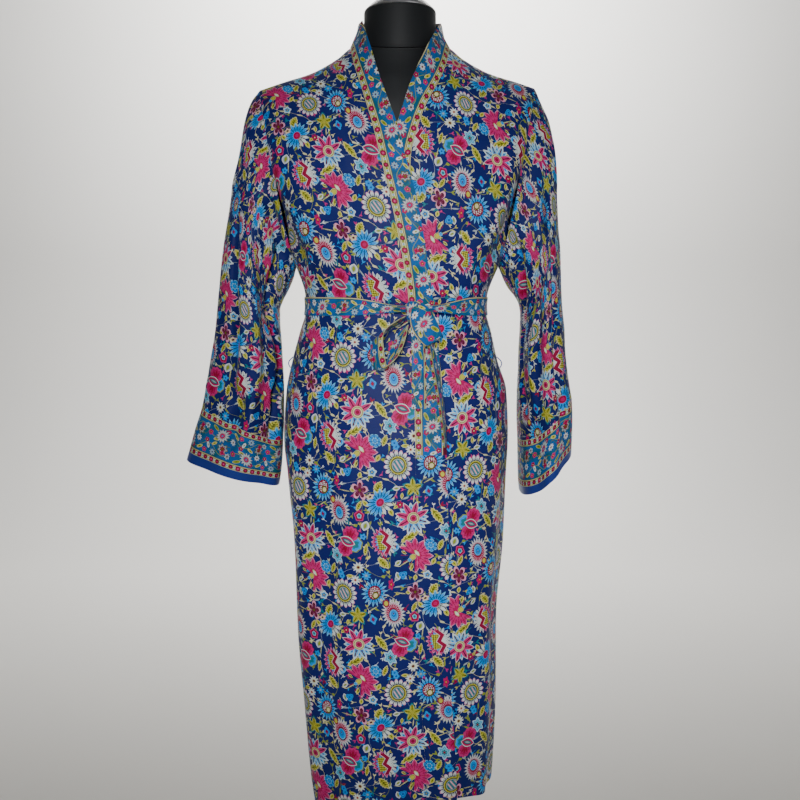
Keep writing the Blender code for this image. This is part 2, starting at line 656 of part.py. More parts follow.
def back_panel():
    """The back, from side seam to side seam, with the hollow of the neck at its top."""
    share = np.concatenate([np.array(BACK_SHARES)[::-1], -np.array(BACK_SHARES)[1:]])
    columns = len(share)
    angle = np.array([math.pi - share * float(armhole_angle(one)) for one in LEVELS])
    angle = np.where(angle > math.pi, angle - 2 * math.pi, angle)
    level = np.repeat(LEVELS[:, None], columns, axis=1)
    outer, normal = robe(angle, hung(angle, level, OVER_HEM))
    outer[..., 1] += np.where(sides_and_top(columns, (0, columns - 1)), SEAM_GAP / 2, 0.0)
    return wall("back", outer, outer - normal * CLOTH, "print")


def band(name, side, edges, hems, chosen, lift_of, stand=None):
    """A strip of band from its seam to its free edge on the chosen levels, and round the neck if it stands."""
    heights, seam = seam_rows(edges)
    heights, level_of_row = heights[chosen], LEVELS[chosen]
    seam = seam[chosen] - side * SEAM_GAP / 2
    share = np.linspace(0.0, 1.0, BAND_COLUMNS)
    free = column(edges, "height", "free", heights)
    x = seam[:, None] + (free - seam)[:, None] * share[None]
    height = np.repeat(heights[:, None], BAND_COLUMNS, axis=1)
    level = level_at(x, height)
    level[:, 0] = level_of_row
    angle = angle_at(x, level)
    outer, normal = robe(angle, hung(angle, level, hems), lift_of(x, height) + BAND_PROUD)
    if stand is None:
        outer[-1, :, 2] -= SEAM_GAP
        return wall(name, outer, outer - normal * BAND_CLOTH, "print")
    free_edge = np.stack([side * column(stand, "height", "free_x", heights),
                          column(stand, "height", "free_y", heights),
                          column(stand, "height", "free_z", heights)], axis=1)
    upright = outer[:, :1] + (free_edge[:, None] - outer[:, :1]) * share[None, :, None]
    stood = ease((heights - STAND_FROM) / STAND_OVER)[:, None, None]
    outer = outer * (1 - stood) + upright * stood
    seam_x = np.array([one.seam_x for one in NECK_STATIONS])
    seam_y = SHOULDER_Y + BACK_NECK_DEEP * np.sqrt(1 - (seam_x / BACK_NECK_HALF) ** 2) + SEAM_GAP / 2
    seam_z = column(SHOULDERS, "out", "height", seam_x) + NECK_SEAM_SEAT
    seams = np.stack([side * seam_x, seam_y, seam_z], axis=1)
    frees = np.array([(side * one.free_x, one.free_y, one.free_z) for one in NECK_STATIONS])
    round_neck = seams[:, None] + (frees - seams)[:, None] * share[None, :, None]
    outer = np.concatenate([outer, round_neck])
    turned_out = -side * grid_normals(outer)
    turned_out[-1, :, 0] = 0.0
    turned_out[-1] /= np.linalg.norm(turned_out[-1], axis=1, keepdims=True)
    weight = np.concatenate([stood[:, :, 0], np.ones((len(round_neck), 1))])[..., None]
    flat = np.concatenate([normal, np.zeros_like(round_neck)])
    mixed = flat * (1 - weight) + turned_out * weight
    mixed /= np.linalg.norm(mixed, axis=-1, keepdims=True)
    return wall(name, outer, outer - mixed * BAND_CLOTH, "border")


def hole_rises():
    """How far up the armhole its points lie, from the tip of the shoulder down the front and up the back."""
    return np.array((1.0,) + RISES[:-1][::-1] + (0.0,) + RISES[:-1])


def armhole(side):
    """The armhole's points, and the robe's outward direction at each."""
    level = UNDERARM + hole_rises() * (SHOULDER_TIP - UNDERARM)
    at_front = np.arange(len(level)) <= len(RISES)
    angle = side * armhole_angle(level)
    angle = np.where(at_front, angle, side * math.pi - angle)
    return figure(angle, level), figure_normal(angle, level)


def sleeve_grid(side, sections, folds):
    """Rings of a sleeve, from the armhole to the cuff's edge, and the direction out of each point."""
    hole, hole_normal = armhole(side)
    rise = hole_rises()
    turn = np.arccos(2 * rise - 1)
    turn[len(RISES) + 1 :] = 2 * math.pi - turn[len(RISES) + 1 :]
    squash = np.sign(np.sin(turn)) * np.abs(np.sin(turn)) ** SLEEVE_ROUND
    rings = []
    for row in sections:
        outside = np.array([side * row.out_x, row.middle, row.out_z])
        inside = np.array([side * row.in_x, row.middle, row.in_z])
        ring = (outside + inside) / 2 + np.cos(turn)[:, None] * (outside - inside) / 2
        ring[:, 1] -= squash * row.depth
        rings.append(ring)
    grid = np.array(rings)
    along = np.roll(hole, -1, axis=0) - np.roll(hole, 1, axis=0)
    away = np.cross(along, hole_normal)
    away /= np.linalg.norm(away, axis=1, keepdims=True)
    away *= np.sign(away[0, 0] * side)
    hole = hole + away * SEAM_GAP
    grid[0] = hole
    tip, underarm = 0, len(RISES)
    off_line = hole - hole[underarm] - (hole[tip] - hole[underarm]) * rise[:, None]
    for i, share in ((1, 0.85), (2, 0.60), (3, 0.30), (4, 0.10)):
        line = grid[i][underarm] + (grid[i][tip] - grid[i][underarm]) * rise[:, None]
        grid[i] = grid[i] * (1 - share) + (line + off_line) * share
    row_number = np.arange(len(sections))[:, None]
    height = np.zeros(grid.shape[:2])
    for fold in folds:
        share = (row_number - fold.first) / (fold.last - fold.first)
        apart = np.degrees(np.angle(np.exp(1j * (turn - math.radians(fold.angle)))))[None]
        ends = ease(share * 4) * ease((1 - share) * 8)
        height = height + fold.depth * np.exp(-((apart / fold.width) ** 2)) * ends
    grid = grid + outwards(grid) * height[..., None]
    normal = outwards(grid)
    toward_panel = np.maximum((normal[0] * away).sum(axis=1, keepdims=True), 0.0)
    normal[0] = normal[0] - away * toward_panel
    normal[0] /= np.linalg.norm(normal[0], axis=1, keepdims=True)
    return grid, normal


def outwards(grid):
    """Directions out of a tube's rings."""
    normal = grid_normals(grid, closed=True)
    middle = len(grid) // 2
    facing = ((grid[middle] - grid[middle].mean(axis=0)) * normal[middle]).sum()
    return normal * np.sign(facing)


def sleeve(side, word, sections, folds):
    """The sleeve's body, its border and its plain edge, each a band of the same rings."""
    grid, normal = sleeve_grid(side, sections, folds)
    inner = grid - normal * CLOTH
    cuts = (
        (f"sleeve_{word}", 0, BORDER_ROW, "print"),
        (f"cuff_border_{word}", BORDER_ROW, PLAIN_EDGE_ROW, "border"),
        (f"cuff_edge_{word}", PLAIN_EDGE_ROW, len(sections) - 1, "plain"),
    )
    for name, first, last, finish in cuts:
        outer_rows = grid[first : last + 1].copy()
        inner_rows = inner[first : last + 1].copy()
        if first > 0:
            step = grid[first + 1] - grid[first]
            step = step / np.linalg.norm(step, axis=1, keepdims=True) * SEAM_GAP
            outer_rows[0] += step
            inner_rows[0] += step
        wall(name, outer_rows, inner_rows, finish, closed=True)


def belt_waist(columns_front=9, columns_back=25):
    """The belt round the waist, from the knot round the back to the knot, pinched near it."""
    left_end = float(angle_at(KNOT_LEFT, BELT_HEIGHT))
    right_end = float(angle_at(KNOT_RIGHT, BELT_HEIGHT))
    quarter = math.pi / 2
    angle = np.concatenate([
        np.linspace(left_end, quarter, columns_front)[:-1],
        np.linspace(quarter, 3 * quarter, columns_back),
        np.linspace(3 * quarter, 2 * math.pi + right_end, columns_front + 2)[1:],
    ])
    angle = np.where(angle > math.pi, angle - 2 * math.pi, angle)
    base = figure(angle, np.full(angle.shape, BELT_HEIGHT))
    at_front = base[:, 1] < 0
    from_knot = np.minimum(np.abs(base[:, 0] - KNOT_LEFT), np.abs(base[:, 0] - KNOT_RIGHT))
    pinch = np.where(at_front, 1 - ease(from_knot / BELT_PINCH_REACH), 0.0)
    half = BELT_WIDTH / 2 * (1 - BELT_PINCH_SHARE * pinch)
    over_lap = ease((0.110 - base[:, 0]) / 0.050) * ease((base[:, 0] + 0.125) / 0.060)
    lift = BELT_SEAT + np.where(at_front, BELT_FRONT_SEAT + (LAP_LIFT + BAND_PROUD) * over_lap, 0.0)
    lift = lift + BELT_RISE_TO_KNOT * pinch**3
    rows = []
    for share in (-1.0, 0.0, 1.0):
        level = BELT_HEIGHT - BELT_PINCH_DROP * pinch + share * half
        rows.append(figure(angle, level) + figure_normal(angle, level) * lift[:, None])
    inner = np.array(rows)
    normal = grid_normals(inner)
    outer = inner - normal * BELT_CLOTH * np.sign(normal[0, 0, 1])
    return wall("belt_waist", outer, inner, "border")


def ribbon(name, stations, steps, thickness, finish="border"):
    """A strip of belt along a smooth path, three columns wide, with a constant thickness."""
    table = np.array(stations)
    place = np.arange(len(stations), dtype=float)
    at = np.linspace(0.0, len(stations) - 1.0, steps)
    path = np.stack([catmull(place, table[:, i], at) for i in range(3)], axis=1)
    half = np.stack([catmull(place, table[:, 3 + i], at) for i in range(3)], axis=1)
    share = np.array([-1.0, 0.0, 1.0])
    grid = path[:, None] + half[:, None] * share[None, :, None]
    normal = grid_normals(grid)
    return wall(name, grid + normal * thickness / 2, grid - normal * thickness / 2, finish)


def catmull(places, values, at):
    """A curve through the values whose tangent at each is half the step between its neighbours."""
    y = np.asarray(values, float)
    tangent = np.gradient(y)
    i = np.clip(np.floor(at).astype(int), 0, len(places) - 2)
    t = at - i
    start = (1 + 2 * t) * (1 - t) ** 2 * y[i] + t * (1 - t) ** 2 * tangent[i]
    end = t**2 * (3 - 2 * t) * y[i + 1] - t**2 * (1 - t) * tangent[i + 1]
    return start + end


def knot():
    """The knot: a small block with soft corners."""
    shape = bmesh.new()
    bmesh.ops.create_cube(shape, size=1.0)
    for vert in shape.verts:
        vert.co = [co * size + centre for co, size, centre in zip(vert.co, KNOT_SIZE, KNOT_CENTRE)]
    mesh = bpy.data.meshes.new("belt_knot")
    shape.to_mesh(mesh)
    shape.free()
    item = bpy.data.objects.new("belt_knot", mesh)
    collection.objects.link(item)
    give_finish(item, "border")
    bevel = item.modifiers.new("soft corners", "BEVEL")
    bevel.width = KNOT_ROUNDING
    bevel.segments = 3
    return item


def carrier(name, side):
    """A thread loop on the side seam, a little bow of thread that stands out from it."""
    angles = np.linspace(0, math.pi, 9)
    seam, _ = robe(np.full(2, side * math.pi / 2), np.array([CARRIER_TOP, CARRIER_LOW]))
    path = seam[:1] + (seam[1:] - seam[:1]) * (angles / math.pi)[:, None]
    path[:, 0] += side * (CARRIER_SEAT + CARRIER_OUT * np.sin(angles))
    path[:, 1] -= CARRIER_FORWARD
    data = bpy.data.curves.new(name, "CURVE")
    data.dimensions = "3D"
    data.bevel_depth = THREAD
    data.bevel_resolution = 1
    data.use_fill_caps = True
    spline = data.splines.new("POLY")
    spline.points.add(len(path) - 1)
    for point, place in zip(spline.points, path):
        point.co = (*place, 1.0)
    item = bpy.data.objects.new(name, data)
    collection.objects.link(item)
    give_finish(item, "plain")
    return item


# Pieces of the dress form
def form_torso():
    """The torso: rings, then above the underarm a front and a back to the shoulder line, with flat arm plates."""
    columns = FORM_COLUMNS
    levels = [row.height for row in FORM_RINGS[:-1]] + [FORM_WAIST_TOP]
    levels += [UNDERARM + rise * (SHOULDER_TIP - UNDERARM) for rise in (0.0,) + RISES[:-1]]
    share = np.linspace(-1.0, 1.0, columns)
    rows = []
    for level in levels:
        limit = float(armhole_angle(level))
        behind = math.pi + share * limit
        angle = np.concatenate([share * limit, np.where(behind > math.pi, behind - 2 * math.pi, behind)])
        height = np.full(angle.shape, level)
        if level < UNDERARM:
            rows.append(figure(angle, height, FORM_RINGS))
            continue
        ring = figure(angle, height, shoulders=FORM_SHOULDERS)
        deep = CLOTH + FORM_ROOM + FORM_CHEST_ROOM * (1 - ease((rise_of(level) - 0.30) / 0.60))
        ring = ring - figure_normal(angle, height) * deep
        ring[:, 0] *= 1 - FORM_NARROWER * ease((np.abs(ring[:, 0]) - 0.12) / 0.08)
        rows.append(ring)
    grid = np.array(rows)
    count = grid.shape[1]
    top = (len(levels) - 1) * count
    faces = [tuple(range(count))[::-1]]
    for i in range(len(levels) - 1):
        for j in range(count):
            k = (j + 1) % count
            faces.append((i * count + j, i * count + k, (i + 1) * count + k, (i + 1) * count + j))
    ridge_angle = share * float(armhole_angle(SHOULDER_TIP))
    ridge = figure(ridge_angle, np.full(columns, SHOULDER_TIP), shoulders=FORM_SHOULDERS)
    ridge[:, 2] -= FORM_BELOW_SHOULDER
    ridge[:, 0] = (grid[-1, :columns, 0] + grid[-1, columns:, 0][::-1]) / 2
    last = top + count
    for j in range(columns - 1):
        faces.append((top + j, top + j + 1, last + j + 1, last + j))
        faces.append((last + j, last + j + 1, top + count - 2 - j, top + count - 1 - j))
    faces.append((last, top + count - 1, top))
    faces.append((last + columns - 1, top + columns - 1, top + columns))
    item = make_object("form_torso", np.concatenate([grid.reshape(-1, 3), ridge]), faces, "jersey")
    face_out(item)
    union = item.modifiers.new("neck base", "BOOLEAN")
    union.operation = "UNION"
    union.object = neck_base()
    return item


def cone_rings(name, rows, finish, tilt=0.0):
    """A closed solid through a table's oval rings. Tilt slopes the last one along y."""
    turn = np.linspace(0, 2 * math.pi, NECK_SIDES, endpoint=False)
    rings = []
    for row in rows:
        y = row.middle + row.deep * np.sin(turn)
        slope = tilt if row is rows[-1] else 0.0
        rings.append(np.stack([row.half * np.cos(turn), y, row.height + slope * y], axis=1))
    grid = np.array(rings)
    count = grid.shape[1]
    faces = []
    for i in range(len(rows) - 1):
        for j in range(count):
            k = (j + 1) % count
            faces.append((i * count + j, i * count + k, (i + 1) * count + k, (i + 1) * count + j))
    faces.append(tuple(range(count))[::-1])
    faces.append(tuple((len(rows) - 1) * count + j for j in range(count)))
    item = make_object(name, grid.reshape(-1, 3), faces, finish)
    face_out(item)
    return item


def neck_base():
    """The slope from the chest and the shoulders up to the neck seam, joined to the torso."""
    item = cone_rings("neck base cutter", NECK_BASE, "jersey", tilt=NECK_SEAM_SLOPE)
    collection.objects.unlink(item)
    cutters.objects.link(item)
    item.hide_render = True
    item.display_type = "WIRE"
    return item


def form_neck():
    """The neck above its seam, with a level top."""
    sides = NECK_SIDES
    turn = np.linspace(0, 2 * math.pi, sides, endpoint=False)
    x = NECK_RADIUS * np.cos(turn)
    y = NECK_CENTRE_Y + NECK_RADIUS * np.sin(turn)
    low = NECK_SEAM + SEAM_GAP + NECK_SEAM_SLOPE * y
    rows = [np.stack([x, y, low], axis=1), np.stack([x * 0.985, y, np.full(sides, NECK_TOP)], axis=1)]
    points = np.concatenate(rows)
    faces = [(j, (j + 1) % sides, sides + (j + 1) % sides, sides + j) for j in range(sides)]
    faces.append(tuple(range(sides))[::-1])
    faces.append(tuple(sides + j for j in range(sides)))
    item = make_object("form_neck", points, faces, "jersey")
    face_out(item)


def turned(name, profile, centre, finish, steps=40):
    """A turned solid from a profile that runs from the axis at the top, down the outside, to the axis."""
    mesh = bpy.data.meshes.new(name)
    edges = [(i, i + 1) for i in range(len(profile) - 1)]
    mesh.from_pydata([(radius, 0.0, height) for radius, height in profile], edges, [])
    item = bpy.data.objects.new(name, mesh)
    item.location = centre
    collection.objects.link(item)
    screw = item.modifiers.new("turn", "SCREW")
    screw.steps = steps
    screw.render_steps = steps
    screw.use_merge_vertices = True
    screw.merge_threshold = 1e-5
    screw.use_smooth_shade = True
    give_finish(item, finish)
    return item


def dress_form():
    form_torso()
    form_neck()
    cap = NECK_TOP + SEAM_GAP
    radius = NECK_RADIUS * 0.97
    dome = [(radius * share, cap + CAP_HEIGHT * (1 - share**2.2)) for share in (0.0, 0.25, 0.5, 0.72, 0.88)]
    rim = [(radius, cap + CAP_HEIGHT / 12), (radius, cap), (0.0, cap)]
    turned("form_neck_cap", dome + rim, (0.0, NECK_CENTRE_Y, 0.0), "metal", steps=NECK_SIDES)
    hub = BASE_THICKNESS + HUB_HEIGHT
    turned("form_base", (
        (0.0, hub), (HUB_RADIUS - 0.003, hub), (HUB_RADIUS, hub - 0.004),
        (HUB_RADIUS + 0.002, BASE_THICKNESS + 0.016), (0.034, BASE_THICKNESS + 0.008),
        (0.060, BASE_THICKNESS + 0.003), (BASE_RADIUS - 0.006, BASE_THICKNESS),
        (BASE_RADIUS, BASE_THICKNESS - 0.004), (BASE_RADIUS, 0.001), (BASE_RADIUS - 0.001, 0.0), (0.0, 0.0),
    ), (0.0, 0.0, 0.0), "black metal")
    bpy.ops.mesh.primitive_cylinder_add(vertices=POLE_SIDES, radius=POLE_RADIUS,
                                        depth=FORM_BOTTOM - hub - 2 * SEAM_GAP,
                                        location=(0.0, 0.0, (FORM_BOTTOM + hub) / 2))
    pole = bpy.context.active_object
    pole.name = "form_pole"
    for holder in list(pole.users_collection):
        holder.objects.unlink(pole)
    collection.objects.link(pole)
    give_finish(pole, "metal")


def no_lift(x, height):
    return np.zeros(np.broadcast(x, height).shape)


def build_robe():
    back_panel()
    front_panel("front_right", -1, OVER_EDGES, OVER_HEM, 15, lap_lift)
    front_panel("front_left", 1, UNDER_EDGES, UNDER_HEM, 14, no_lift)
    below = np.flatnonzero(LEVELS <= BORDER_END)
    above = np.flatnonzero(LEVELS >= BORDER_END)
    band("band_right", -1, OVER_EDGES, OVER_HEM, above, lap_lift, OVER_STAND)
    band("band_left", 1, UNDER_EDGES, UNDER_HEM, above, no_lift, UNDER_STAND)
    band("band_right_lower", -1, OVER_EDGES, OVER_HEM, below, lap_lift)
    band("band_left_lower", 1, UNDER_EDGES, UNDER_HEM, below, no_lift)
    sleeve(-1, "right", RIGHT_SLEEVE, RIGHT_SLEEVE_FOLDS)
    sleeve(1, "left", LEFT_SLEEVE, LEFT_SLEEVE_FOLDS)
    belt_waist()
    knot()
    ribbon("belt_bow_right", OPEN_LOOP, 23, BELT_CLOTH)
    ribbon("belt_bow_left", FLAP_LOOP, 15, BELT_CLOTH)
    ribbon("belt_tail_right", TAIL_RIGHT, 9, BELT_CLOTH)
    ribbon("belt_tail_left", TAIL_LEFT, 11, BELT_CLOTH)
    carrier("carrier_right", -1)
    carrier("carrier_left", 1)


for old in list(bpy.data.objects):
    bpy.data.objects.remove(old, do_unlink=True)
collection = bpy.data.collections.new("kimono robe on a dress form")
cutters = bpy.data.collections.new("cutters")
bpy.context.scene.collection.children.link(collection)
bpy.context.scene.collection.children.link(cutters)
build_robe()
dress_form()
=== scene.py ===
"""The finish of a long wrap robe on its dress form: fine cloth shells, a floral print and a border print.

Metres, +Z up, the front faces -Y, and the wearer's right is at -X. The floor is z = 0. The tables are written in
millimetres, which the function table turns into metres, and in degrees.
"""

import math
from collections import namedtuple

import bpy
import numpy as np
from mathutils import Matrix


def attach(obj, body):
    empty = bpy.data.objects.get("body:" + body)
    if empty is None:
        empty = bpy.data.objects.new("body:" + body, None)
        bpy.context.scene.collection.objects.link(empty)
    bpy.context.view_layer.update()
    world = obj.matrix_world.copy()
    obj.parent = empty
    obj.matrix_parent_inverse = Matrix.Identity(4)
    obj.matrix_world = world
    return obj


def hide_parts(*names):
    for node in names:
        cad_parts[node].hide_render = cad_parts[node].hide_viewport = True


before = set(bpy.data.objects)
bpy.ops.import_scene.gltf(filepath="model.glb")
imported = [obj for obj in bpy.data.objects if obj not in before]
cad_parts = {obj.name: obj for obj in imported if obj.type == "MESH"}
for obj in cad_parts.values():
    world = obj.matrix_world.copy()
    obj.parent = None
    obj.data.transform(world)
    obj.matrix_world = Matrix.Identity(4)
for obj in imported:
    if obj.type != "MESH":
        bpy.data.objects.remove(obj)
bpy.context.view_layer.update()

bl_info = {
    "name": "Printed wrap robe",
    "version": (1, 0, 0),
    "blender": (4, 5, 0),
    "location": "View3D > Sidebar > Robe",
    "description": "Builds a printed wrap robe with its belt on a dress form",
    "category": "Object",
}

# Driving sizes, the same as the solids'
HEM = 0.150
UNDERARM = 1.055
SHOULDER_TIP = 1.338
BAND_PROUD = 0.0008
SEAM_GAP = 0.0004
LAP_LIFT = 0.0042
LAP_EDGE_FLARE = 0.0035
BELT_HEIGHT = 0.990
BELT_WIDTH = 0.030
BELT_SEAT = 0.0004
BELT_FRONT_SEAT = 0.0008
BELT_PINCH_REACH = 0.085
BELT_PINCH_SHARE = 0.58
BELT_PINCH_DROP = 0.004
KNOT_LEFT = 0.0345
KNOT_RIGHT = 0.0085
BELT_RISE_TO_KNOT = 0.008
BORDER_END = 0.768
STAND_FROM = 1.215
STAND_OVER = 0.080
NECK_SEAM_SEAT = 0.0007
CORNER = 0.82
LAP_SPREAD = 0.047
LAP_V_TOP = 1.310
LAP_V_REACH = 0.045
LAP_FLARE_TOP = 0.955
LAP_FLARE_REACH = 0.090
LAP_FLARE_WIDTH = 0.050
SLEEVE_ROUND = 0.85
CARRIER_TOP = 0.906
CARRIER_LOW = 0.888
CARRIER_OUT = 0.0052
CARRIER_SEAT = 0.0013
CARRIER_FORWARD = 0.004
THREAD = 0.0009
NECK_RADIUS = 0.0585
NECK_CENTRE_Y = 0.012
NECK_TOP = 1.455
NECK_SEAM = 1.403
NECK_SEAM_SLOPE = 0.33
FORM_ROOM = 0.0060
FORM_CHEST_ROOM = 0.008
FORM_BOTTOM = 0.640
FORM_ROUNDING = 0.020
FORM_TOP = 1.402
FORM_MIDDLE = 0.015
FORM_JOIN = 24.0
FORM_STEPS = 144
CAP_HEIGHT = 0.030
POLE_RADIUS = 0.016
HUB_HEIGHT = 0.060
HUB_RADIUS = 0.024
BASE_RADIUS = 0.190
BASE_THICKNESS = 0.014

# Rough lengths of the cloth, from which its cells are counted
SHOULDER_UP = 0.34
FRONT_ACROSS = 0.235
HALF_BACK_ACROSS = 0.26
SLEEVE_AROUND = 0.46
WAIST_AROUND = 0.84
BAND_COLUMNS = 13
BELT_ROWS = 11
NECK_STEPS = 40


def table(kind, as_written, *rows):
    """Rows of a kind. Lengths are written in millimetres, and the columns named in as_written aren't lengths."""
    plain = as_written.split()
    return [kind(*(one if name in plain else one / 1000 for name, one in zip(kind._fields, row))) for row in rows]


# Rings of the robe below the underarm: half widths to the wearer's right and left, and depths before and behind
Ring = namedtuple("Ring", "height right left front back")
RINGS = table(Ring, "",
    (150, 152, 157, 138, 170), (200, 159, 162, 138, 170), (326, 169, 166, 140, 168), (466, 179, 165, 143, 166),
    (606, 181, 175, 148, 166), (717, 188, 178, 151, 168), (772, 193, 180, 150, 168), (852, 188, 176, 142, 158),
    (904, 177, 160, 133, 142), (944, 166, 151, 124, 122), (990, 154, 140.4, 114, 106), (1012, 156, 144, 117, 108),
    (1055, 170, 161, 122, 114))

# Rings of the dress form below the underarm
FORM_RINGS = table(Ring, "",
    (640, 146, 146, 98, 112), (655, 156, 156, 106, 120), (720, 166, 166, 116, 138), (790, 167, 167, 120, 142),
    (880, 152, 146, 113, 125), (990, 136, 128, 100, 92), (1055, 152, 150, 110, 104))

# The shoulder line: its height at a distance from the middle
Shoulder = namedtuple("Shoulder", "out height")
SHOULDERS = table(Shoulder, "",
    (0, 1414), (60, 1411), (80, 1403), (100, 1387), (145, 1363.5), (190, 1350), (230, 1337))
FORM_SHOULDERS = table(Shoulder, "",
    (0, 1372), (70, 1372), (90, 1377), (105, 1378.5), (145, 1363.5), (190, 1350), (230, 1337))

# The slope from the chest up to the neck seam
Oval = namedtuple("Oval", "half deep middle height")
NECK_BASE = table(Oval, "",
    (120, 85, 10, 1200), (98, 83, 6, 1290), (80, 73, 8, 1340), (68, 66, 10, 1372), (60.7, 60.7, 12, 1403))

# Shape of the shoulders, the back neck, the armholes and the fall of the chest and the back
SHOULDER_Y = 0.015
BACK_NECK_DEEP = 0.0685
BACK_NECK_HALF = 0.0805
ARMHOLE_ANGLE = 62.0
ARMHOLE_ROUND = 0.4
ARM_RIGHT = (0.170, 0.228)
ARM_LEFT = (0.161, 0.217)
FRONT_FALL = (2.2, 1.7)
BACK_FALL = (2.6, 2.0)

# How high the hem hangs round the figure: on the back and the over front, and on the under front
Hem = namedtuple("Hem", "angle height")
OVER_HEM = table(Hem, "angle",
    (-180, 150), (-90, 143), (0, 150), (20, 154), (90, 176), (150, 153), (180, 150))
UNDER_HEM = table(Hem, "angle",
    (-40, 204), (0, 204), (32, 196), (55, 186), (90, 176))
HEM_REACH = 0.200

# Front edges: x of the seam that joins the band to its front, and x of the band's free edge, by height
Edge = namedtuple("Edge", "height seam free")
OVER_EDGES = table(Edge, "",
    (150, 44, 90), (250, 41, 87), (400, 32, 78), (768, 23, 69), (895, 20.6, 60), (1000, 12.8, 49.5),
    (1022, 10.5, 46.8), (1157, -15.5, 23.6), (1187, -23, 15.2), (1226, -32.5, 4.7), (1264.5, -42, -6),
    (1300, -52.5, -21.5), (1327, -60.5, -31.2), (1360, -70.5, -42), (1402, -80, -56))
UNDER_EDGES = table(Edge, "",
    (150, -42, -88), (400, -34, -80), (768, -26, -70), (1000, -18, -60), (1100, -1, -40), (1183, 14.5, -22.5),
    (1216, 16.5, -15.7), (1264.5, 28.5, -5.5), (1295, 40, 5.2), (1334, 60, 16.8), (1365, 72, 31), (1402, 80, 48))

# The band's free edge where it leaves the chest and stands up, by its seam's height, with x to its own side
Stand = namedtuple("Stand", "height free_x free_y free_z")
OVER_STAND = table(Stand, "",
    (1264.5, 6, -100, 1270), (1300, 22.5, -92.5, 1312), (1327, 33, -80, 1343), (1352, 42, -64, 1374),
    (1378, 51.5, -44, 1407), (1402, 60, -20, 1436))
UNDER_STAND = table(Stand, "",
    (1264.5, 0.5, -96, 1279), (1295, 12, -89, 1316), (1327, 27.5, -73, 1356), (1352, 39, -58, 1383),
    (1378, 50, -39, 1406), (1402, 60, -18, 1427))

# The band round the neck, from the shoulder's front to the centre back: x of its seam, and its free edge
NeckStation = namedtuple("NeckStation", "seam_x free_x free_y free_z")
NECK_STATIONS = table(NeckStation, "",
    (77.5, 67.5, 30, 1447), (72, 64, 43, 1451), (58, 52.5, 59, 1454), (41, 37.5, 70, 1455), (21, 19.5, 76.5, 1455),
    (0.4, 0.4, 79, 1455))

# Soft folds in the robe's body: place round it, depth out (+) or in (-), half width, lowest and highest part
Fold = namedtuple("Fold", "angle depth width low high lean")
BODY_FOLDS = table(Fold, "angle width lean",
    (-58, 6, 10, 100, 930, -6), (-35, -4.5, 9, 100, 850, 4), (-82, -5, 9, 100, 700, 3), (8, -3.5, 10, 100, 800, 5),
    (52, 5, 8, 100, 740, -5), (70, -6, 9, 100, 860, 4), (108, 8, 10, 100, 900, 5), (131, -7, 9, 100, 840, -4),
    (152, 7.5, 10, 100, 920, 3), (176, -8, 10, 100, 930, 4), (-160, 7, 10, 100, 880, -5),
    (-137, -6.5, 9, 100, 820, 3), (-112, 7.5, 10, 100, 900, -4), (-66, -5.5, 9, 1030, 1220, -14),
    (-50, 5, 8, 1040, 1270, -16), (64, -5.5, 9, 1030, 1220, 14), (48, 5, 8, 1040, 1270, 16),
    (140, 5.5, 11, 1030, 1260, 8), (-140, 5.5, 11, 1030, 1260, -8), (180, -4.5, 12, 1030, 1220, 0))

# A sleeve's sections from the armhole to the cuff: outer and inner edge from the front, half depth, middle y
Section = namedtuple("Section", "out_x out_z in_x in_z depth middle")
RIGHT_SLEEVE = table(Section, "",
    (228.5, 1337, 170, 1055, 60, 10), (240.5, 1320, 176, 1038, 62, 11), (252, 1288, 186, 1016, 66, 12),
    (260, 1243, 196, 998, 68, 13), (271, 1192, 202, 980, 69, 13), (281, 1136, 202, 958, 68, 12),
    (291, 1080, 200, 934, 67, 11), (299, 1016, 198.5, 906, 67, 10), (306.6, 950, 197, 874, 68, 9),
    (315, 906, 196, 842, 67, 8), (323, 864, 196.5, 803, 64, 7), (331.8, 823, 198.5, 766, 61, 6),
    (344, 787, 200, 735, 58, 5), (355, 750, 203.5, 702, 56, 4), (360, 734.5, 206, 689, 55, 4))
LEFT_SLEEVE = table(Section, "",
    (217.5, 1331, 161, 1055, 60, 10), (227, 1318, 169, 1040, 64, 12), (243, 1285, 180, 1020, 70, 14),
    (251, 1241, 192, 1006, 76, 16), (254.5, 1190, 201, 990, 80, 18), (258, 1130, 205, 966, 84, 20),
    (262, 1070, 204.5, 940, 87, 22), (265.5, 1005, 203.5, 910, 90, 23), (272.5, 950, 203, 876, 91, 24),
    (277.5, 902, 201.5, 842, 91, 24), (285, 856, 201.5, 802, 90, 24), (289, 834, 203, 765, 88, 23),
    (290.5, 798, 204, 727, 87, 22), (290, 760.5, 205.5, 686, 86, 21), (289.5, 746.5, 207, 672, 86, 21))
BORDER_ROW = 11
PLAIN_EDGE_ROW = 13

# Folds along a sleeve: place round the tube from its outer edge, depth, half width, first and last row
SleeveFold = namedtuple("SleeveFold", "angle depth width first last")
RIGHT_SLEEVE_FOLDS = table(SleeveFold, "angle width first last",
    (136, -10, 20, 2, 16), (95, 5, 22, 1, 9), (58, -6, 20, 5, 16), (300, -8, 20, 3, 16), (240, -8, 20, 3, 16))
LEFT_SLEEVE_FOLDS = table(SleeveFold, "angle width first last",
    (125, -8, 20, 2, 16), (60, -5, 21, 4, 16), (298, -8, 20, 3, 16), (246, -8, 20, 3, 16))

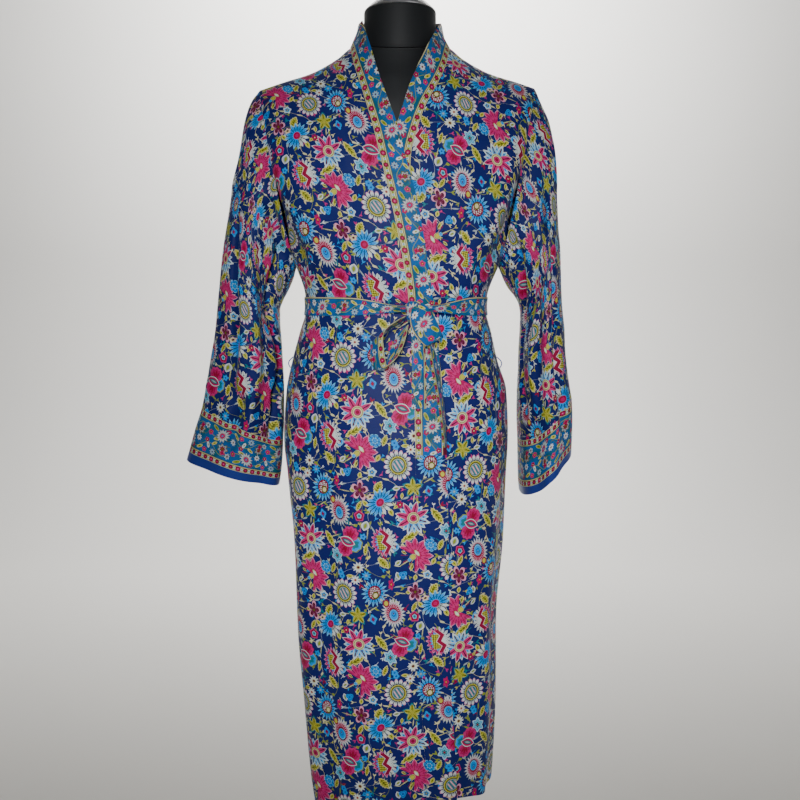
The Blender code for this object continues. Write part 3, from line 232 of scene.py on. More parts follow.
# Ribbons of the bow: the middle of the ribbon, and the half-width vector across it
Station = namedtuple("Station", "x y z across_x across_y across_z")
OPEN_LOOP = table(Station, "",
    (6, -137, 972, 2, -6, 5), (-9, -148, 964, 3, -11, 5.5), (-24, -153, 953, 3.5, -13, 6),
    (-33.5, -153, 942.5, 8, -11, 4), (-34.5, -153, 928, 10, -10, 1), (-33.5, -153, 912, 11, -9, 2),
    (-29, -153, 900, 9, -10, 4), (-20.5, -153, 900, 6, -11, 6), (-12.5, -152, 911, 8, -10, 4),
    (-5, -150, 928, 9.5, -9, 3), (2, -146, 946, 8, -7, 3), (8, -140, 960, 5, -4, 3))
FLAP_LOOP = table(Station, "",
    (24, -151.3, 991.5, 8, 1, 5), (29, -160, 979, 14, 2, 9), (35, -164, 965, 16, 2, 10), (43, -164, 951, 15, 2, 9),
    (50, -160.5, 941, 12.5, 2, 8), (51, -156, 941, 12, 2, 8), (46, -153, 948, 12, 1, 8), (40, -151.5, 957, 10, 1, 7))
TAIL_RIGHT = table(Station, "",
    (24, -139, 964.8, 8, 0, 0.8), (25.5, -141.5, 956, 9, 0, 1), (27, -145, 938, 10, 1, 1),
    (28, -149, 915, 10.4, 1.5, 0), (28.4, -152, 890, 10.6, 2, 0), (28.4, -155, 865, 10.8, 2, 0),
    (28.4, -158.5, 839, 10.8, 2, 0))
TAIL_LEFT = table(Station, "",
    (38, -136.5, 972, 2.8, 3, 1), (40, -137.5, 960, 3.4, 3.8, 1), (43.5, -140.5, 945, 4, 5, 1),
    (46.5, -146.5, 931, 4.5, 8, 1), (50, -153, 915, 5, 11, 1), (53.5, -159, 895, 5.5, 12.5, 1),
    (58, -164, 870, 5, 13, 1), (62.5, -169, 840, 4.2, 13.5, 1), (65.5, -172.5, 810, 3.6, 13.8, 1),
    (67, -175, 785, 3, 13.8, 1))
KNOT_CENTRE = (0.0215, -0.1369, 0.9830)
KNOT_SIZE = (0.0250, 0.0246, 0.0330)

# Widths of the prints, stripes included, and of the cuff's plain edge
BAND_WIDTH = 0.042
CUFF_WIDTH = 0.078
PLAIN_EDGE_WIDTH = 0.014

# Where the print lies on each piece: the cloth lengths of its own middle, its turn in degrees, how far right its
# upright lines go for each metre down, and how far down its level lines go for each metre right
Lay = namedtuple("Lay", "across up turn lean slant")
LAYS = {
    "front_right": Lay(-0.057, 0.776, 0.0, 0.0, 0.0),
    "front_right_top": Lay(-0.0944, 1.1711, 0.0, 0.17, 0.10),
    "front_left": Lay(0.0895, 0.8783, 180.0, 0.0, 0.0),
    "front_left_top": Lay(0.1536, 1.2739, 180.0, -0.12, 0.25),
    "back": Lay(0.02, 0.80, 0.0, 0.0, 0.0),
    "sleeve_right": Lay(0.0621, -0.3376, 0.0, 0.08, 0.0),
    "sleeve_left": Lay(-0.1266, -0.429, 180.0, -0.06, 0.0),
}

# Small creases, in the cloth's own lengths: middle, turn from upright, half length, width, depth, bow
Crease = namedtuple("Crease", "across up turn half_length width depth bow")
RIGHT_CREASES = table(Crease, "turn",
    (-49, 1234, -13.2, 41, 7, 2.4, 3), (-29, 1120, -9.3, 60, 6, 1.2, -2), (-126, 1281, -30.7, 60, 14, 2.2, 5),
    (-94, 1250, -17, 63, 9, 1.4, 0), (-143, 1175, -15.2, 61, 16, 2.6, -6), (-118, 1046, -4, 26, 7, 1.8, 1),
    (-80, 1052, -6, 34, 8, 1.5, -2), (-43, 1044, -3, 27, 6, 1.3, 1), (-130, 1080, -63.4, 43, 9, 1.3, 3),
    (-9, 1039, -7.6, 22, 5, 1.1, 0), (-129, 519, 1.2, 299, 2.4, 1.1, 1), (-130, 911, -7.5, 51, 8, 1.9, -2),
    (-88, 938, -8.9, 31, 9, 1.6, 2), (-54, 905, -3.2, 58, 7, 1.3, -2), (-81, 623, -1.2, 151, 16, 2.2, 6),
    (-37, 431, -1.8, 174, 14, 2, -5), (8, 537, -0.3, 162, 12, 1.6, 3), (-141, 598, -1, 140, 10, 1.6, 3),
    (-98, 348, -8.8, 116, 14, 1.8, -5), (-7, 745, -3.3, 76, 9, 1.2, 2))
LEFT_CREASES = table(Crease, "turn",
    (43, 1237, 16.9, 45, 7, 2.3, -3), (129, 1236, 17.7, 71, 14, 2.2, -6), (89, 1289, 10.1, 61, 10, 1.5, 2),
    (156, 1118, 9.5, 58, 14, 2.4, 5), (112, 1048, 4, 28, 8, 1.6, 2), (106, 1073, 50.1, 34, 10, 1.3, -3),
    (72, 1024, 2.5, 24, 6, 1.2, -1), (127, 912, 7, 49, 8, 1.7, 2), (97, 924, 1.4, 32, 7, 1.3, -1),
    (120, 413, -1.3, 184, 2.4, 1.1, -1), (138, 671, 0.7, 145, 11, 1.8, -4), (97, 587, -1.5, 155, 13, 1.8, 4),
    (139, 346, 1.7, 112, 12, 1.7, 3))
BACK_CREASES = table(Crease, "turn",
    (0, 600, 0, 400, 2.4, 1, 0), (-105, 1195, 24, 90, 16, 2.4, 6), (98, 1210, -21, 75, 14, 2.2, -5),
    (-30, 1130, 4, 85, 12, 1.7, 4), (48, 1110, -7, 70, 10, 1.9, -3), (-88, 1045, 3, 30, 8, 1.8, 1),
    (-40, 1050, -4, 36, 7, 1.4, 0), (22, 1042, 2, 26, 8, 1.7, -1), (91, 1049, -5, 34, 9, 1.6, 2),
    (-112, 900, -4, 60, 9, 1.8, -2), (-58, 912, 2, 45, 8, 1.4, 1), (52, 905, -2, 55, 9, 1.7, 2),
    (108, 890, 5, 66, 8, 1.5, -2), (-120, 560, 2, 190, 15, 2, 5), (-62, 430, -1.5, 150, 12, 1.8, -4),
    (60, 520, 1, 200, 14, 1.9, 5), (124, 400, -2.5, 130, 13, 1.7, -3))
RIGHT_SLEEVE_CREASES = table(Crease, "turn",
    (227, -231, -48.1, 78, 10.2, -14.9, 0), (240, -331, 17, 90, 8.4, -16.6, 0), (209, -448, 22.9, 80, 8.4, -16.6, 0),
    (184, -534, 7.1, 55, 8.4, -14, 0), (86, -308, -3.4, 110, 8.4, -14.9, 2), (91, -444, 0.4, 90, 9, -17.5, -2),
    (102, -545, 4, 70, 9.6, -15.8, 2), (160, -310, 10.8, 100, 9, 5.9, 2), (140, -460, 8, 110, 9, 6.8, -3),
    (109, -314, 48.7, 49, 8, 2.4, 3), (50, -461, 24.7, 58, 9, 2.8, -4), (40, -120, 8, 70, 12, 2.6, 4),
    (-80, -250, 6, 130, 11, 2.8, -5), (-150, -360, -7, 110, 10.8, -8.8, 4), (-50, -430, -12, 80, 9, 2.6, 3))
LEFT_SLEEVE_CREASES = table(Crease, "turn",
    (131, -212, -22.7, 60, 8.4, -11.4, 0), (255, -311, -9, 75, 8.4, -14, 0), (221, -447, 24.2, 120, 8.4, -15.8, 3),
    (167, -449, 13.6, 115, 8, 5.9, 2), (94, -325, 10.4, 85, 8.4, -8.8, -2), (85, -480, 4, 110, 9.6, -11.4, 2),
    (50, -130, -14, 60, 12, 2.6, -4), (30, -330, 3, 110, 9, 2, 2), (-70, -260, -5, 120, 11, 2.7, 5),
    (-140, -350, 9, 100, 10.8, -8.4, -3))


# Curves through tables
def cubic(y, tangent, i, t, step=1.0):
    """The cubic pieces from the values i to the next ones, from the slopes at both ends, at a share t of the step."""
    start = (1 + 2 * t) * (1 - t) ** 2 * y[i] + t * (1 - t) ** 2 * step * tangent[i]
    end = t**2 * (3 - 2 * t) * y[i + 1] - t**2 * (1 - t) * step * tangent[i + 1]
    return start + end


def through(places, values, at):
    """A smooth curve through the values: cubic pieces whose slopes are level at every peak."""
    x = np.asarray(places, float)
    y = np.asarray(values, float)
    slope = np.diff(y) / np.diff(x)
    tangent = np.zeros_like(y)
    product = slope[:-1] * slope[1:]
    total = slope[:-1] + slope[1:]
    same = product > 0
    tangent[1:-1][same] = 2 * product[same] / total[same]
    tangent[0] = slope[0]
    tangent[-1] = slope[-1]
    at = np.clip(np.asarray(at, float), x[0], x[-1])
    i = np.clip(np.searchsorted(x, at) - 1, 0, len(x) - 2)
    step = x[i + 1] - x[i]
    return cubic(y, tangent, i, (at - x[i]) / step, step)


def rounded(values, at):
    """A smooth curve through evenly numbered values: each one's slope is half the step between its neighbours."""
    y = np.asarray(values, float)
    tangent = np.gradient(y)
    i = np.clip(np.floor(at).astype(int), 0, len(y) - 2)
    return cubic(y, tangent, i, at - i)


def column(rows, name, at, by="height"):
    """One named column of a table, read smoothly by another one, or by the rows' numbers."""
    places = [getattr(row, by) for row in rows] if by else range(len(rows))
    return through(places, [getattr(row, name) for row in rows], at)


def ease(value):
    """0 below 0, 1 above 1, and between them 3 t squared less 2 t cubed."""
    t = np.clip(value, 0.0, 1.0)
    return t * t * (3 - 2 * t)


def bell(value):
    """1 at 0 and less on both sides: e to the power of minus the square."""
    return np.exp(-(value**2))


def apart(angle, centre):
    """How many degrees an angle is from another, from -180 to 180."""
    return np.degrees(np.angle(np.exp(1j * (angle - centre))))


def unit(vectors):
    """Vectors divided by their lengths."""
    return vectors / np.maximum(np.linalg.norm(vectors, axis=-1, keepdims=True), 1e-12)


# The figure's surface: rings below the underarm, and above it a front and a back sheet that meet on the shoulder
def rise_of(level):
    """How far a level is from the underarm, 0, to the tip of the shoulder, 1."""
    return np.clip((level - UNDERARM) / (SHOULDER_TIP - UNDERARM), 0.0, 1.0)


def armhole_angle(level):
    """The angle at which a front or back sheet ends: 90 degrees at the underarm, less up the armhole."""
    share = np.clip(rise_of(level) / ARMHOLE_ROUND, 0.0, 1.0)
    return np.radians(90.0 - (90.0 - ARMHOLE_ANGLE) * np.sin(share * math.pi / 2) ** 0.7)


def half_widths(level, rings):
    """Half widths to the wearer's right and left at a level: the table's, and above it a line to the shoulder tip."""
    rise = rise_of(level)
    grow = np.sin(armhole_angle(level)) ** CORNER
    return [np.where(rise > 0, (low + (high - low) * rise) / grow, column(rings, side, level))
            for side, (low, high) in (("right", ARM_RIGHT), ("left", ARM_LEFT))]


def across(angle, level, rings=RINGS):
    """x at an angle from the middle: a superellipse whose half width turns from one side's to the other's."""
    right, left = half_widths(level, rings)
    half = (left + right) / 2 + (left - right) / 2 * np.sin(angle)
    return half * np.sign(np.sin(angle)) * np.abs(np.sin(angle)) ** CORNER


def fold_height(angle, level):
    """The folds: each is a bell curve across, round a line that leans, and fades at its two ends."""
    total = np.zeros(np.broadcast(angle, level).shape)
    for fold in BODY_FOLDS:
        along = (level - fold.low) / (fold.high - fold.low)
        centre = np.radians(fold.angle + fold.lean * (along - 0.5))
        ends = ease(along * 5.0) * ease((1.0 - along) * 3.0)
        if fold.low < HEM:
            ends = ease((1.0 - along) * 3.0)
        total = total + fold.depth * bell(apart(angle, centre) / fold.width) * ends
    off_waist = ease((np.abs(level - BELT_HEIGHT) - BELT_WIDTH / 2) / 0.050)
    off_shoulder = 1 - ease((rise_of(level) - 0.75) / 0.2)
    return total * off_waist * off_shoulder


def figure(angle, level, rings=RINGS, shoulders=SHOULDERS):
    """A point at an angle round the figure, 0 at the front and 180 degrees at the back, and a level.

    x is a superellipse, y its depth times a fall that reaches the shoulder, z the level or a share of the shoulder's.
    """
    angle, level = np.broadcast_arrays(np.asarray(angle, float), np.asarray(level, float))
    back = np.cos(angle) < 0
    turned = np.where(back, np.sign(angle) * math.pi - angle, angle)
    rise = rise_of(level)
    x = across(turned, level, rings)
    deep = np.abs(np.cos(turned)) ** CORNER
    front, behind = (column(rings, side, level) * (1 - rise**power) ** (1 / root)
                     for side, (power, root) in (("front", FRONT_FALL), ("back", BACK_FALL)))
    neck_half = BACK_NECK_HALF + 0.5 * (1 - rise)
    neck_line = np.clip(1 - (x / neck_half) ** 2, 0, 1) ** (0.5 + 6 * (1 - rise))
    nape = np.where(back, BACK_NECK_DEEP * neck_line * rise**8, 0.0)
    y = SHOULDER_Y * rise**3 + nape + np.where(back, behind, -front) * deep
    top = column(shoulders, "height", np.abs(x), "out")
    z = np.where(rise > 0, UNDERARM + rise * (top - UNDERARM), level)
    return np.stack([x, y, z], axis=-1)


def figure_normal(angle, level, rings=RINGS, shoulders=SHOULDERS):
    """The figure's outward direction: the cross product of two small steps over its surface."""
    step = 2e-4
    edge = math.pi / 2
    angle, level = np.broadcast_arrays(np.asarray(angle, float), np.asarray(level, float))
    low = np.where(np.abs(angle) < edge, np.maximum(angle - step, -edge), angle - step)
    high = np.where(np.abs(angle) < edge, np.minimum(angle + step, edge), angle + step)
    below = level - step
    above = np.minimum(level + step, SHOULDER_TIP)
    split = (level > UNDERARM) & (below <= UNDERARM)
    below = np.where(split, UNDERARM + 1e-6, below)
    round_it = figure(high, level, rings, shoulders) - figure(low, level, rings, shoulders)
    up_it = figure(angle, above, rings, shoulders) - figure(angle, below, rings, shoulders)
    return unit(np.cross(round_it, up_it))


def hung(angle, level, hems):
    """The level with the hem's unevenness in it, which fades upwards."""
    hem = column(hems, "height", np.degrees(angle), "angle")
    return level + (hem - HEM) * (1 - ease((level - HEM) / HEM_REACH))


def level_at(x, height, shoulders=SHOULDERS):
    """The level whose sheet passes through a height at this x."""
    top = column(shoulders, "height", np.abs(x), "out")
    rise = np.clip((height - UNDERARM) / (top - UNDERARM), 0.0, 1.0)
    return np.where(height > UNDERARM, UNDERARM + rise * (SHOULDER_TIP - UNDERARM), height)


def angle_at(x, level):
    """The angle on the front at which a level's ring crosses x, by halving the range of its sine 40 times."""
    x, level = np.broadcast_arrays(np.asarray(x, float), np.asarray(level, float))
    right, left = half_widths(level, RINGS)
    low = np.full(x.shape, -1.0)
    high = np.full(x.shape, 1.0)
    for _ in range(40):
        sine = (low + high) / 2
        reached = ((left + right) / 2 + (left - right) / 2 * sine) * np.sign(sine) * np.abs(sine) ** CORNER
        low = np.where(reached < x, sine, low)
        high = np.where(reached < x, high, sine)
    return np.arcsin(np.clip((low + high) / 2, -1.0, 1.0))


def lap_lift(x, height):
    """How far the over front stands off: a step over the under front, and a flare at its own edge."""
    under = column(UNDER_EDGES, "free", height)
    over = column(OVER_EDGES, "free", height)
    spread = ease((x - (under - LAP_SPREAD - 0.008)) / LAP_SPREAD)
    from_v = ease((LAP_V_TOP - height) / LAP_V_REACH)
    flare = ease((x - over) / LAP_FLARE_WIDTH + 1.0) * ease((LAP_FLARE_TOP - height) / LAP_FLARE_REACH)
    return LAP_LIFT * spread * from_v + LAP_EDGE_FLARE * flare


def no_lift(x, height):
    """No lift, for the under front."""
    return np.zeros(np.broadcast(x, height).shape)


def crease_height(across_it, up_it, creases):
    """Small creases in the cloth's own lengths: each is a bell curve across a straight line, faded at both ends."""
    total = np.zeros(across_it.shape)
    for crease in creases:
        turn = math.radians(crease.turn)
        right, up = across_it - crease.across, up_it - crease.up
        along = right * math.sin(turn) + up * math.cos(turn)
        off = right * math.cos(turn) - up * math.sin(turn)
        bow = crease.bow * (1 - (along / crease.half_length) ** 2)
        ends = ease((1 - np.abs(along) / crease.half_length) * 2.2)
        total = total + crease.depth * bell((off - bow) / crease.width) * ends
    return total


# Meshes, with the angles in degrees past which an edge looks sharp
CLOTH_SHARP = 50.0
SOLID_SHARP = 35.0


def put(name, points, faces, corners=None, inside=None, sharp=CLOTH_SHARP):
    """An object from arrays of points and of faces, all of one size, with the UV map Cloth in metres."""
    mesh = bpy.data.meshes.new(name)
    size = faces.shape[1]
    mesh.vertices.add(len(points))
    mesh.vertices.foreach_set("co", np.ascontiguousarray(points, dtype=np.float32).ravel())
    mesh.loops.add(faces.size)
    mesh.loops.foreach_set("vertex_index", np.ascontiguousarray(faces, dtype=np.int32).ravel())
    mesh.polygons.add(len(faces))
    mesh.polygons.foreach_set("loop_start", np.arange(0, faces.size, size, dtype=np.int32))
    if corners is not None:
        layer = mesh.uv_layers.new(name="Cloth")
        layer.data.foreach_set("uv", np.ascontiguousarray(corners, dtype=np.float32).ravel())
    # The point attribute inside: 1 where the material paints shade on a single cloth's inner face
    if inside is not None:
        layer = mesh.attributes.new("inside", "FLOAT", "POINT")
        layer.data.foreach_set("value", np.ascontiguousarray(inside, dtype=np.float32))
    mesh.update(calc_edges=True)
    mesh.validate()
    mesh.shade_smooth()
    mesh.set_sharp_from_angle(angle=math.radians(sharp))
    item = bpy.data.objects.new(name, mesh)
    bpy.context.scene.collection.objects.link(item)
    return item


def quads(rows, columns, closed):
    """A grid's cells: their rows, their columns and their corners' numbers. A closed grid's two sides meet."""
    i, j = np.meshgrid(np.arange(rows - 1), np.arange(columns if closed else columns - 1), indexing="ij")
    k = (j + 1) % columns
    return i, j, np.stack([i * columns + j, i * columns + k, (i + 1) * columns + k, (i + 1) * columns + j], axis=-1)


def shell(name, outer, inner, uv, closed=False, doubled=False):
    """A closed shell between two grids of points: quads on both faces and round the rims.

    Where it is closed round its columns, uv has one more column than the grids, for the seam's far side.
    Single cloth marks its inner face for painted shade; doubled cloth shows its right side on both faces and gets none.
    """
    rows, columns = outer.shape[:2]
    count = rows * columns
    i, j, quad = quads(rows, columns, closed)
    corner = np.stack([uv[i, j], uv[i, j + 1], uv[i + 1, j + 1], uv[i + 1, j]], axis=2)
    quad, corner = quad.reshape(-1, 4), corner.reshape(-1, 4, 2)
    faces = [quad, quad[:, ::-1] + count]
    corners = [corner, corner[:, ::-1]]

    def rim(first, last, first_uv, last_uv):
        faces.append(np.stack([last, first, first + count, last + count], axis=-1))
        corners.append(np.stack([last_uv, first_uv, first_uv, last_uv], axis=1))

    low = np.arange(columns if closed else columns - 1)
    high = (low + 1) % columns
    top = (rows - 1) * columns
    rim(low, high, uv[0, low], uv[0, low + 1])
    rim(top + high, top + low, uv[-1, low + 1], uv[-1, low])
    if not closed:
        below = np.arange(rows - 1)
        rim((below + 1) * columns, below * columns, uv[below + 1, 0], uv[below, 0])
        end = columns - 1
        rim(below * columns + end, (below + 1) * columns + end, uv[below, end], uv[below + 1, end])
    faces, corners = np.concatenate(faces), np.concatenate(corners)
    flat = outer.reshape(-1, 3)
    normal = np.cross(flat[quad[:, 1]] - flat[quad[:, 0]], flat[quad[:, 3]] - flat[quad[:, 0]])
    outward = (outer - inner).reshape(-1, 3)[quad[:, 0]]
    if (normal * outward).sum() < 0:
        faces, corners = faces[:, ::-1], corners[:, ::-1]
    # 1 on the inner face of single cloth, where the material paints shade
    inside = np.repeat([0.0, 0.0 if doubled else 1.0], count)
    return put(name, np.concatenate([flat, inner.reshape(-1, 3)]), faces, corners, inside)


def solid_of_rings(name, grid):
    """A closed smooth solid: rings of points joined by quads, with its first and last ring drawn in to a point."""
    columns = grid.shape[1]
    first, last = (np.repeat(grid[at].mean(axis=0)[None, None], columns, axis=1) for at in (0, -1))
    grid = np.concatenate([first, grid, last])
    faces = quads(len(grid), columns, True)[2].reshape(-1, 4)
    points = grid.reshape(-1, 3)
    normal = np.cross(points[faces[:, 2]] - points[faces[:, 0]], points[faces[:, 3]] - points[faces[:, 1]])
    if (normal * points[faces].mean(axis=1)).sum() < 0:
        faces = faces[:, ::-1]
    item = put(name, points, faces, sharp=SOLID_SHARP)
    weld(item)
    return item


def weld(item):
    """Makes one point of those that meet, as at a solid's two poles."""
    merge = item.modifiers.new("weld", "WELD")
    merge.merge_threshold = 1e-5
    bpy.context.view_layer.update()
    mesh = bpy.data.meshes.new_from_object(item.evaluated_get(bpy.context.evaluated_depsgraph_get()))
    item.modifiers.clear()
    old = item.data
    item.data = mesh
    mesh.name = item.name
    bpy.data.meshes.remove(old)


def grid_normals(grid, closed=False):
    """Directions out of a grid: the cross product of the steps to its neighbours."""
    along = np.gradient(grid, axis=0)
    if closed:
        around = np.roll(grid, -1, axis=1) - np.roll(grid, 1, axis=1)
    else:
        around = np.gradient(grid, axis=1)
    return unit(np.cross(around, along))


def run_along(grid, axis, only=(0, 1, 2)):
    """How far each point of a grid lies along its row or its column: the sum of the steps up to it."""
    step = np.linalg.norm(np.diff(grid[..., only], axis=axis), axis=-1)
    start = np.zeros_like(step[:1] if axis == 0 else step[:, :1])
    return np.concatenate([start, np.cumsum(step, axis=axis)], axis=axis)


# The robe's panels
def sizes():
    """The sizes that a user may have changed."""
    return bpy.context.scene.robe_sizes


def colours():
    """The colours that a user may have changed."""
    return bpy.context.scene.robe_colours


def body_levels():
    """Levels from the hem to the shoulder: even up to the underarm, and closer and closer towards the shoulder."""
    low = np.linspace(HEM, UNDERARM, round((UNDERARM - HEM) / sizes().cell) + 1)
    share = np.linspace(0, 1, round(SHOULDER_UP / sizes().cell) + 1)[1:]
    return np.concatenate([low, UNDERARM + (1 - (1 - share) ** 1.8) * (SHOULDER_TIP - UNDERARM)])


def seam_rows(edges, levels):
    """For each level, the height and x at which its sheet meets the band's seam, settled in 14 rounds."""
    height = levels.copy()
    for _ in range(14):
        top = column(SHOULDERS, "height", np.abs(column(edges, "seam", height)), "out")
        height = np.where(levels > UNDERARM, UNDERARM + rise_of(levels) * (top - UNDERARM), levels)
    return height, column(edges, "seam", height)


def laid(right, up, lay):
    """Cloth lengths moved to the print's own: less the print's middle, leant and slanted, and turned."""
    turn = math.radians(lay.turn)
    x, y = right - lay.across, up - lay.up
    x, y = x + lay.lean * y, y + lay.slant * x
    return np.stack([x * math.cos(turn) + y * math.sin(turn), y * math.cos(turn) - x * math.sin(turn)], axis=-1)


def on_panel(up, below, above):
    """The print's place on a body panel: one lay below the belt and one above it, changed under the belt."""
    share = ease((up - BELT_HEIGHT + 0.003) / 0.006)[..., None]
    return below * (1 - share) + above * share


def dressed(angle, level, lift, creases, right=None, start=None, side=1):
    """A sheet of the robe with folds and creases: outer points, directions out, and cloth lengths across and up."""
    base = figure(angle, level)
    along = run_along(base, 1)
    across_it = start[:, None] + side * along if start is not None else along - along[:, right][:, None]
    up_it = base[0, :, 2][None] + run_along(base, 0, only=(1, 2))
    normal = figure_normal(angle, level)
    near_waist = ease((np.abs(level - BELT_HEIGHT) - BELT_WIDTH / 2) / 0.025)
    small = crease_height(across_it, up_it, creases) * near_waist * sizes().crease
    small = small * (1 - ease((rise_of(level) - 0.86) / 0.12))
    height = fold_height(angle, level) + lift + small
    return base + normal * height[..., None], normal, across_it, up_it


def half_gap(levels, columns, side_seams):
    """Half a seam's gap on the side seams up to the underarm and along the shoulder, and 0 elsewhere."""
    at_seam = (levels <= UNDERARM)[:, None] & np.isin(np.arange(columns), side_seams)[None]
    at_top = (np.arange(len(levels)) == len(levels) - 1)[:, None]
    return np.where(at_seam | at_top, SEAM_GAP / 2, 0.0)


def front_panel(word, side, edges, hems, lift_of, creases):
    """A front, from its band seam to the side seam and the armhole: angles shared evenly between the two."""
    levels = body_levels()
    _, seam_x = seam_rows(edges, levels)
    columns = round(FRONT_ACROSS / sizes().cell) + 1
    start = angle_at(seam_x + side * SEAM_GAP / 2, levels)
    share = np.linspace(0, 1, columns)
    angle = start[:, None] + (side * armhole_angle(levels) - start)[:, None] * share[None]
    level = hung(angle, np.repeat(levels[:, None], columns, axis=1), hems)
    base = figure(angle, level)
    lift = lift_of(base[..., 0], base[..., 2])
    outer, normal, right, up = dressed(angle, level, lift, creases, start=base[:, 0, 0], side=side)
    outer[..., 1] -= half_gap(levels, columns, (columns - 1,))
    uv = on_panel(up, laid(right, up, LAYS[word]), laid(right, up, LAYS[f"{word}_top"]))
    return shell(f"robe_{word}", outer, outer - normal * sizes().cloth, uv)


def back_panel(word):
    """The back, from side seam to side seam: the angle goes evenly from one armhole round to the other."""
    levels = body_levels()
    columns = 2 * round(HALF_BACK_ACROSS / sizes().cell) + 1
    share = np.linspace(1, -1, columns)
    angle = math.pi - share[None] * armhole_angle(levels)[:, None]
    angle = np.where(angle > math.pi, angle - 2 * math.pi, angle)
    level = hung(angle, np.repeat(levels[:, None], columns, axis=1), OVER_HEM)
    outer, normal, right, up = dressed(angle, level, 0.0, BACK_CREASES, right=columns // 2)
    outer[..., 1] += half_gap(levels, columns, (0, columns - 1))
    return shell(f"robe_{word}", outer, outer - normal * sizes().cloth, laid(right, up, LAYS[word]))


def soft_edges(outer, inner, at_edge):
    """Draws two faces together by half a wall where at_edge is 1, so that a doubled edge looks rolled."""
    middle = (outer + inner) / 2
    return middle + (outer - middle) * (1 - 0.65 * at_edge), middle + (inner - middle) * (1 - 0.65 * at_edge)


def band(name, side, edges, hems, rows, lift_of, stand=None):
    """A strip of band from its seam to its free edge, and round the neck where it stands: x shared evenly across."""
    heights, seam = seam_rows(edges, rows)
    seam = seam - side * SEAM_GAP / 2
    share = np.linspace(0, 1, BAND_COLUMNS)
    free = column(edges, "free", heights)
    x = seam[:, None] + (free - seam)[:, None] * share[None]
    height = np.repeat(heights[:, None], BAND_COLUMNS, axis=1)
    level = level_at(x, height)
    level[:, 0] = rows
    angle = angle_at(x, level)
    level = hung(angle, level, hems)
    normal = figure_normal(angle, level)
    lifted = fold_height(angle, level) + lift_of(x, height) + BAND_PROUD
    outer = figure(angle, level) + normal * lifted[..., None]
    if stand is None:
        outer[-1, :, 2] -= SEAM_GAP
        mixed = normal
    else:
        names = ("free_x", "free_y", "free_z")
        free_edge = np.stack([column(stand, one, heights) for one in names], axis=1)
        free_edge[:, 0] *= side
        upright = outer[:, :1] + (free_edge[:, None] - outer[:, :1]) * share[None, :, None]
        stood = ease((heights - STAND_FROM) / STAND_OVER)[:, None, None]
        outer = outer * (1 - stood) + upright * stood
        at = np.linspace(0.0, len(NECK_STATIONS) - 1.0, NECK_STEPS)
        neck = {one: column(NECK_STATIONS, one, at, by=None) for one in ("seam_x",) + names}
        seam_y = SHOULDER_Y + BACK_NECK_DEEP * np.sqrt(1 - (neck["seam_x"] / BACK_NECK_HALF) ** 2) + SEAM_GAP / 2
        seam_z = column(SHOULDERS, "height", neck["seam_x"], "out") + NECK_SEAM_SEAT
        seams = np.stack([side * neck["seam_x"], seam_y, seam_z], axis=1)
        frees = np.stack([side * neck["free_x"], neck["free_y"], neck["free_z"]], axis=1)
        round_neck = seams[:, None] + (frees - seams)[:, None] * share[None, :, None]
        outer = np.concatenate([outer, round_neck])
        turned_out = -side * grid_normals(outer)
        turned_out[-1, :, 0] = 0.0
        turned_out[-1] = unit(turned_out[-1])
        weight = np.concatenate([stood[:, :, 0], np.ones((len(round_neck), 1))])[..., None]
        mixed = unit(np.concatenate([normal, np.zeros_like(round_neck)]) * (1 - weight) + turned_out * weight)
    across_it = run_along(outer, 1)
    up_it = run_along(outer, 0)[:, :1] + outer[0, :1, 2] + np.zeros_like(across_it)
    at_edge = (share == 1.0)[None, :, None]
    outer, inner = soft_edges(outer, outer - mixed * sizes().band_cloth, at_edge)
    if stand is None:
        lay = LAYS["front_right" if side < 0 else "front_left"]
        uv = laid(x, up_it, lay)
    else:
        uv = np.stack([up_it, across_it], axis=-1)
    return shell(name, outer, inner, uv)


# The sleeves
def outwards(grid):
    """Directions out of a tube's rings."""
    normal = grid_normals(grid, closed=True)
    middle = len(grid) // 2
    facing = ((grid[middle] - grid[middle].mean(axis=0)) * normal[middle]).sum()
    return normal * np.sign(facing)


def sleeve_rows(sections):
    """Row numbers from the armhole to the cuff's edge, evenly spaced in cloth, with both of the cuff's seams."""
    middles = np.array([((one.out_x + one.in_x) / 2, one.middle, (one.out_z + one.in_z) / 2) for one in sections])
    length = np.concatenate([[0.0], np.cumsum(np.linalg.norm(np.diff(middles, axis=0), axis=1))])
    parts = []
    for first, last in ((0, BORDER_ROW), (BORDER_ROW, PLAIN_EDGE_ROW), (PLAIN_EDGE_ROW, len(sections) - 1)):
        steps = max(3, round((length[last] - length[first]) / sizes().cell))
        parts.append(np.interp(np.linspace(length[first], length[last], steps + 1), length, np.arange(len(length))))
    return parts


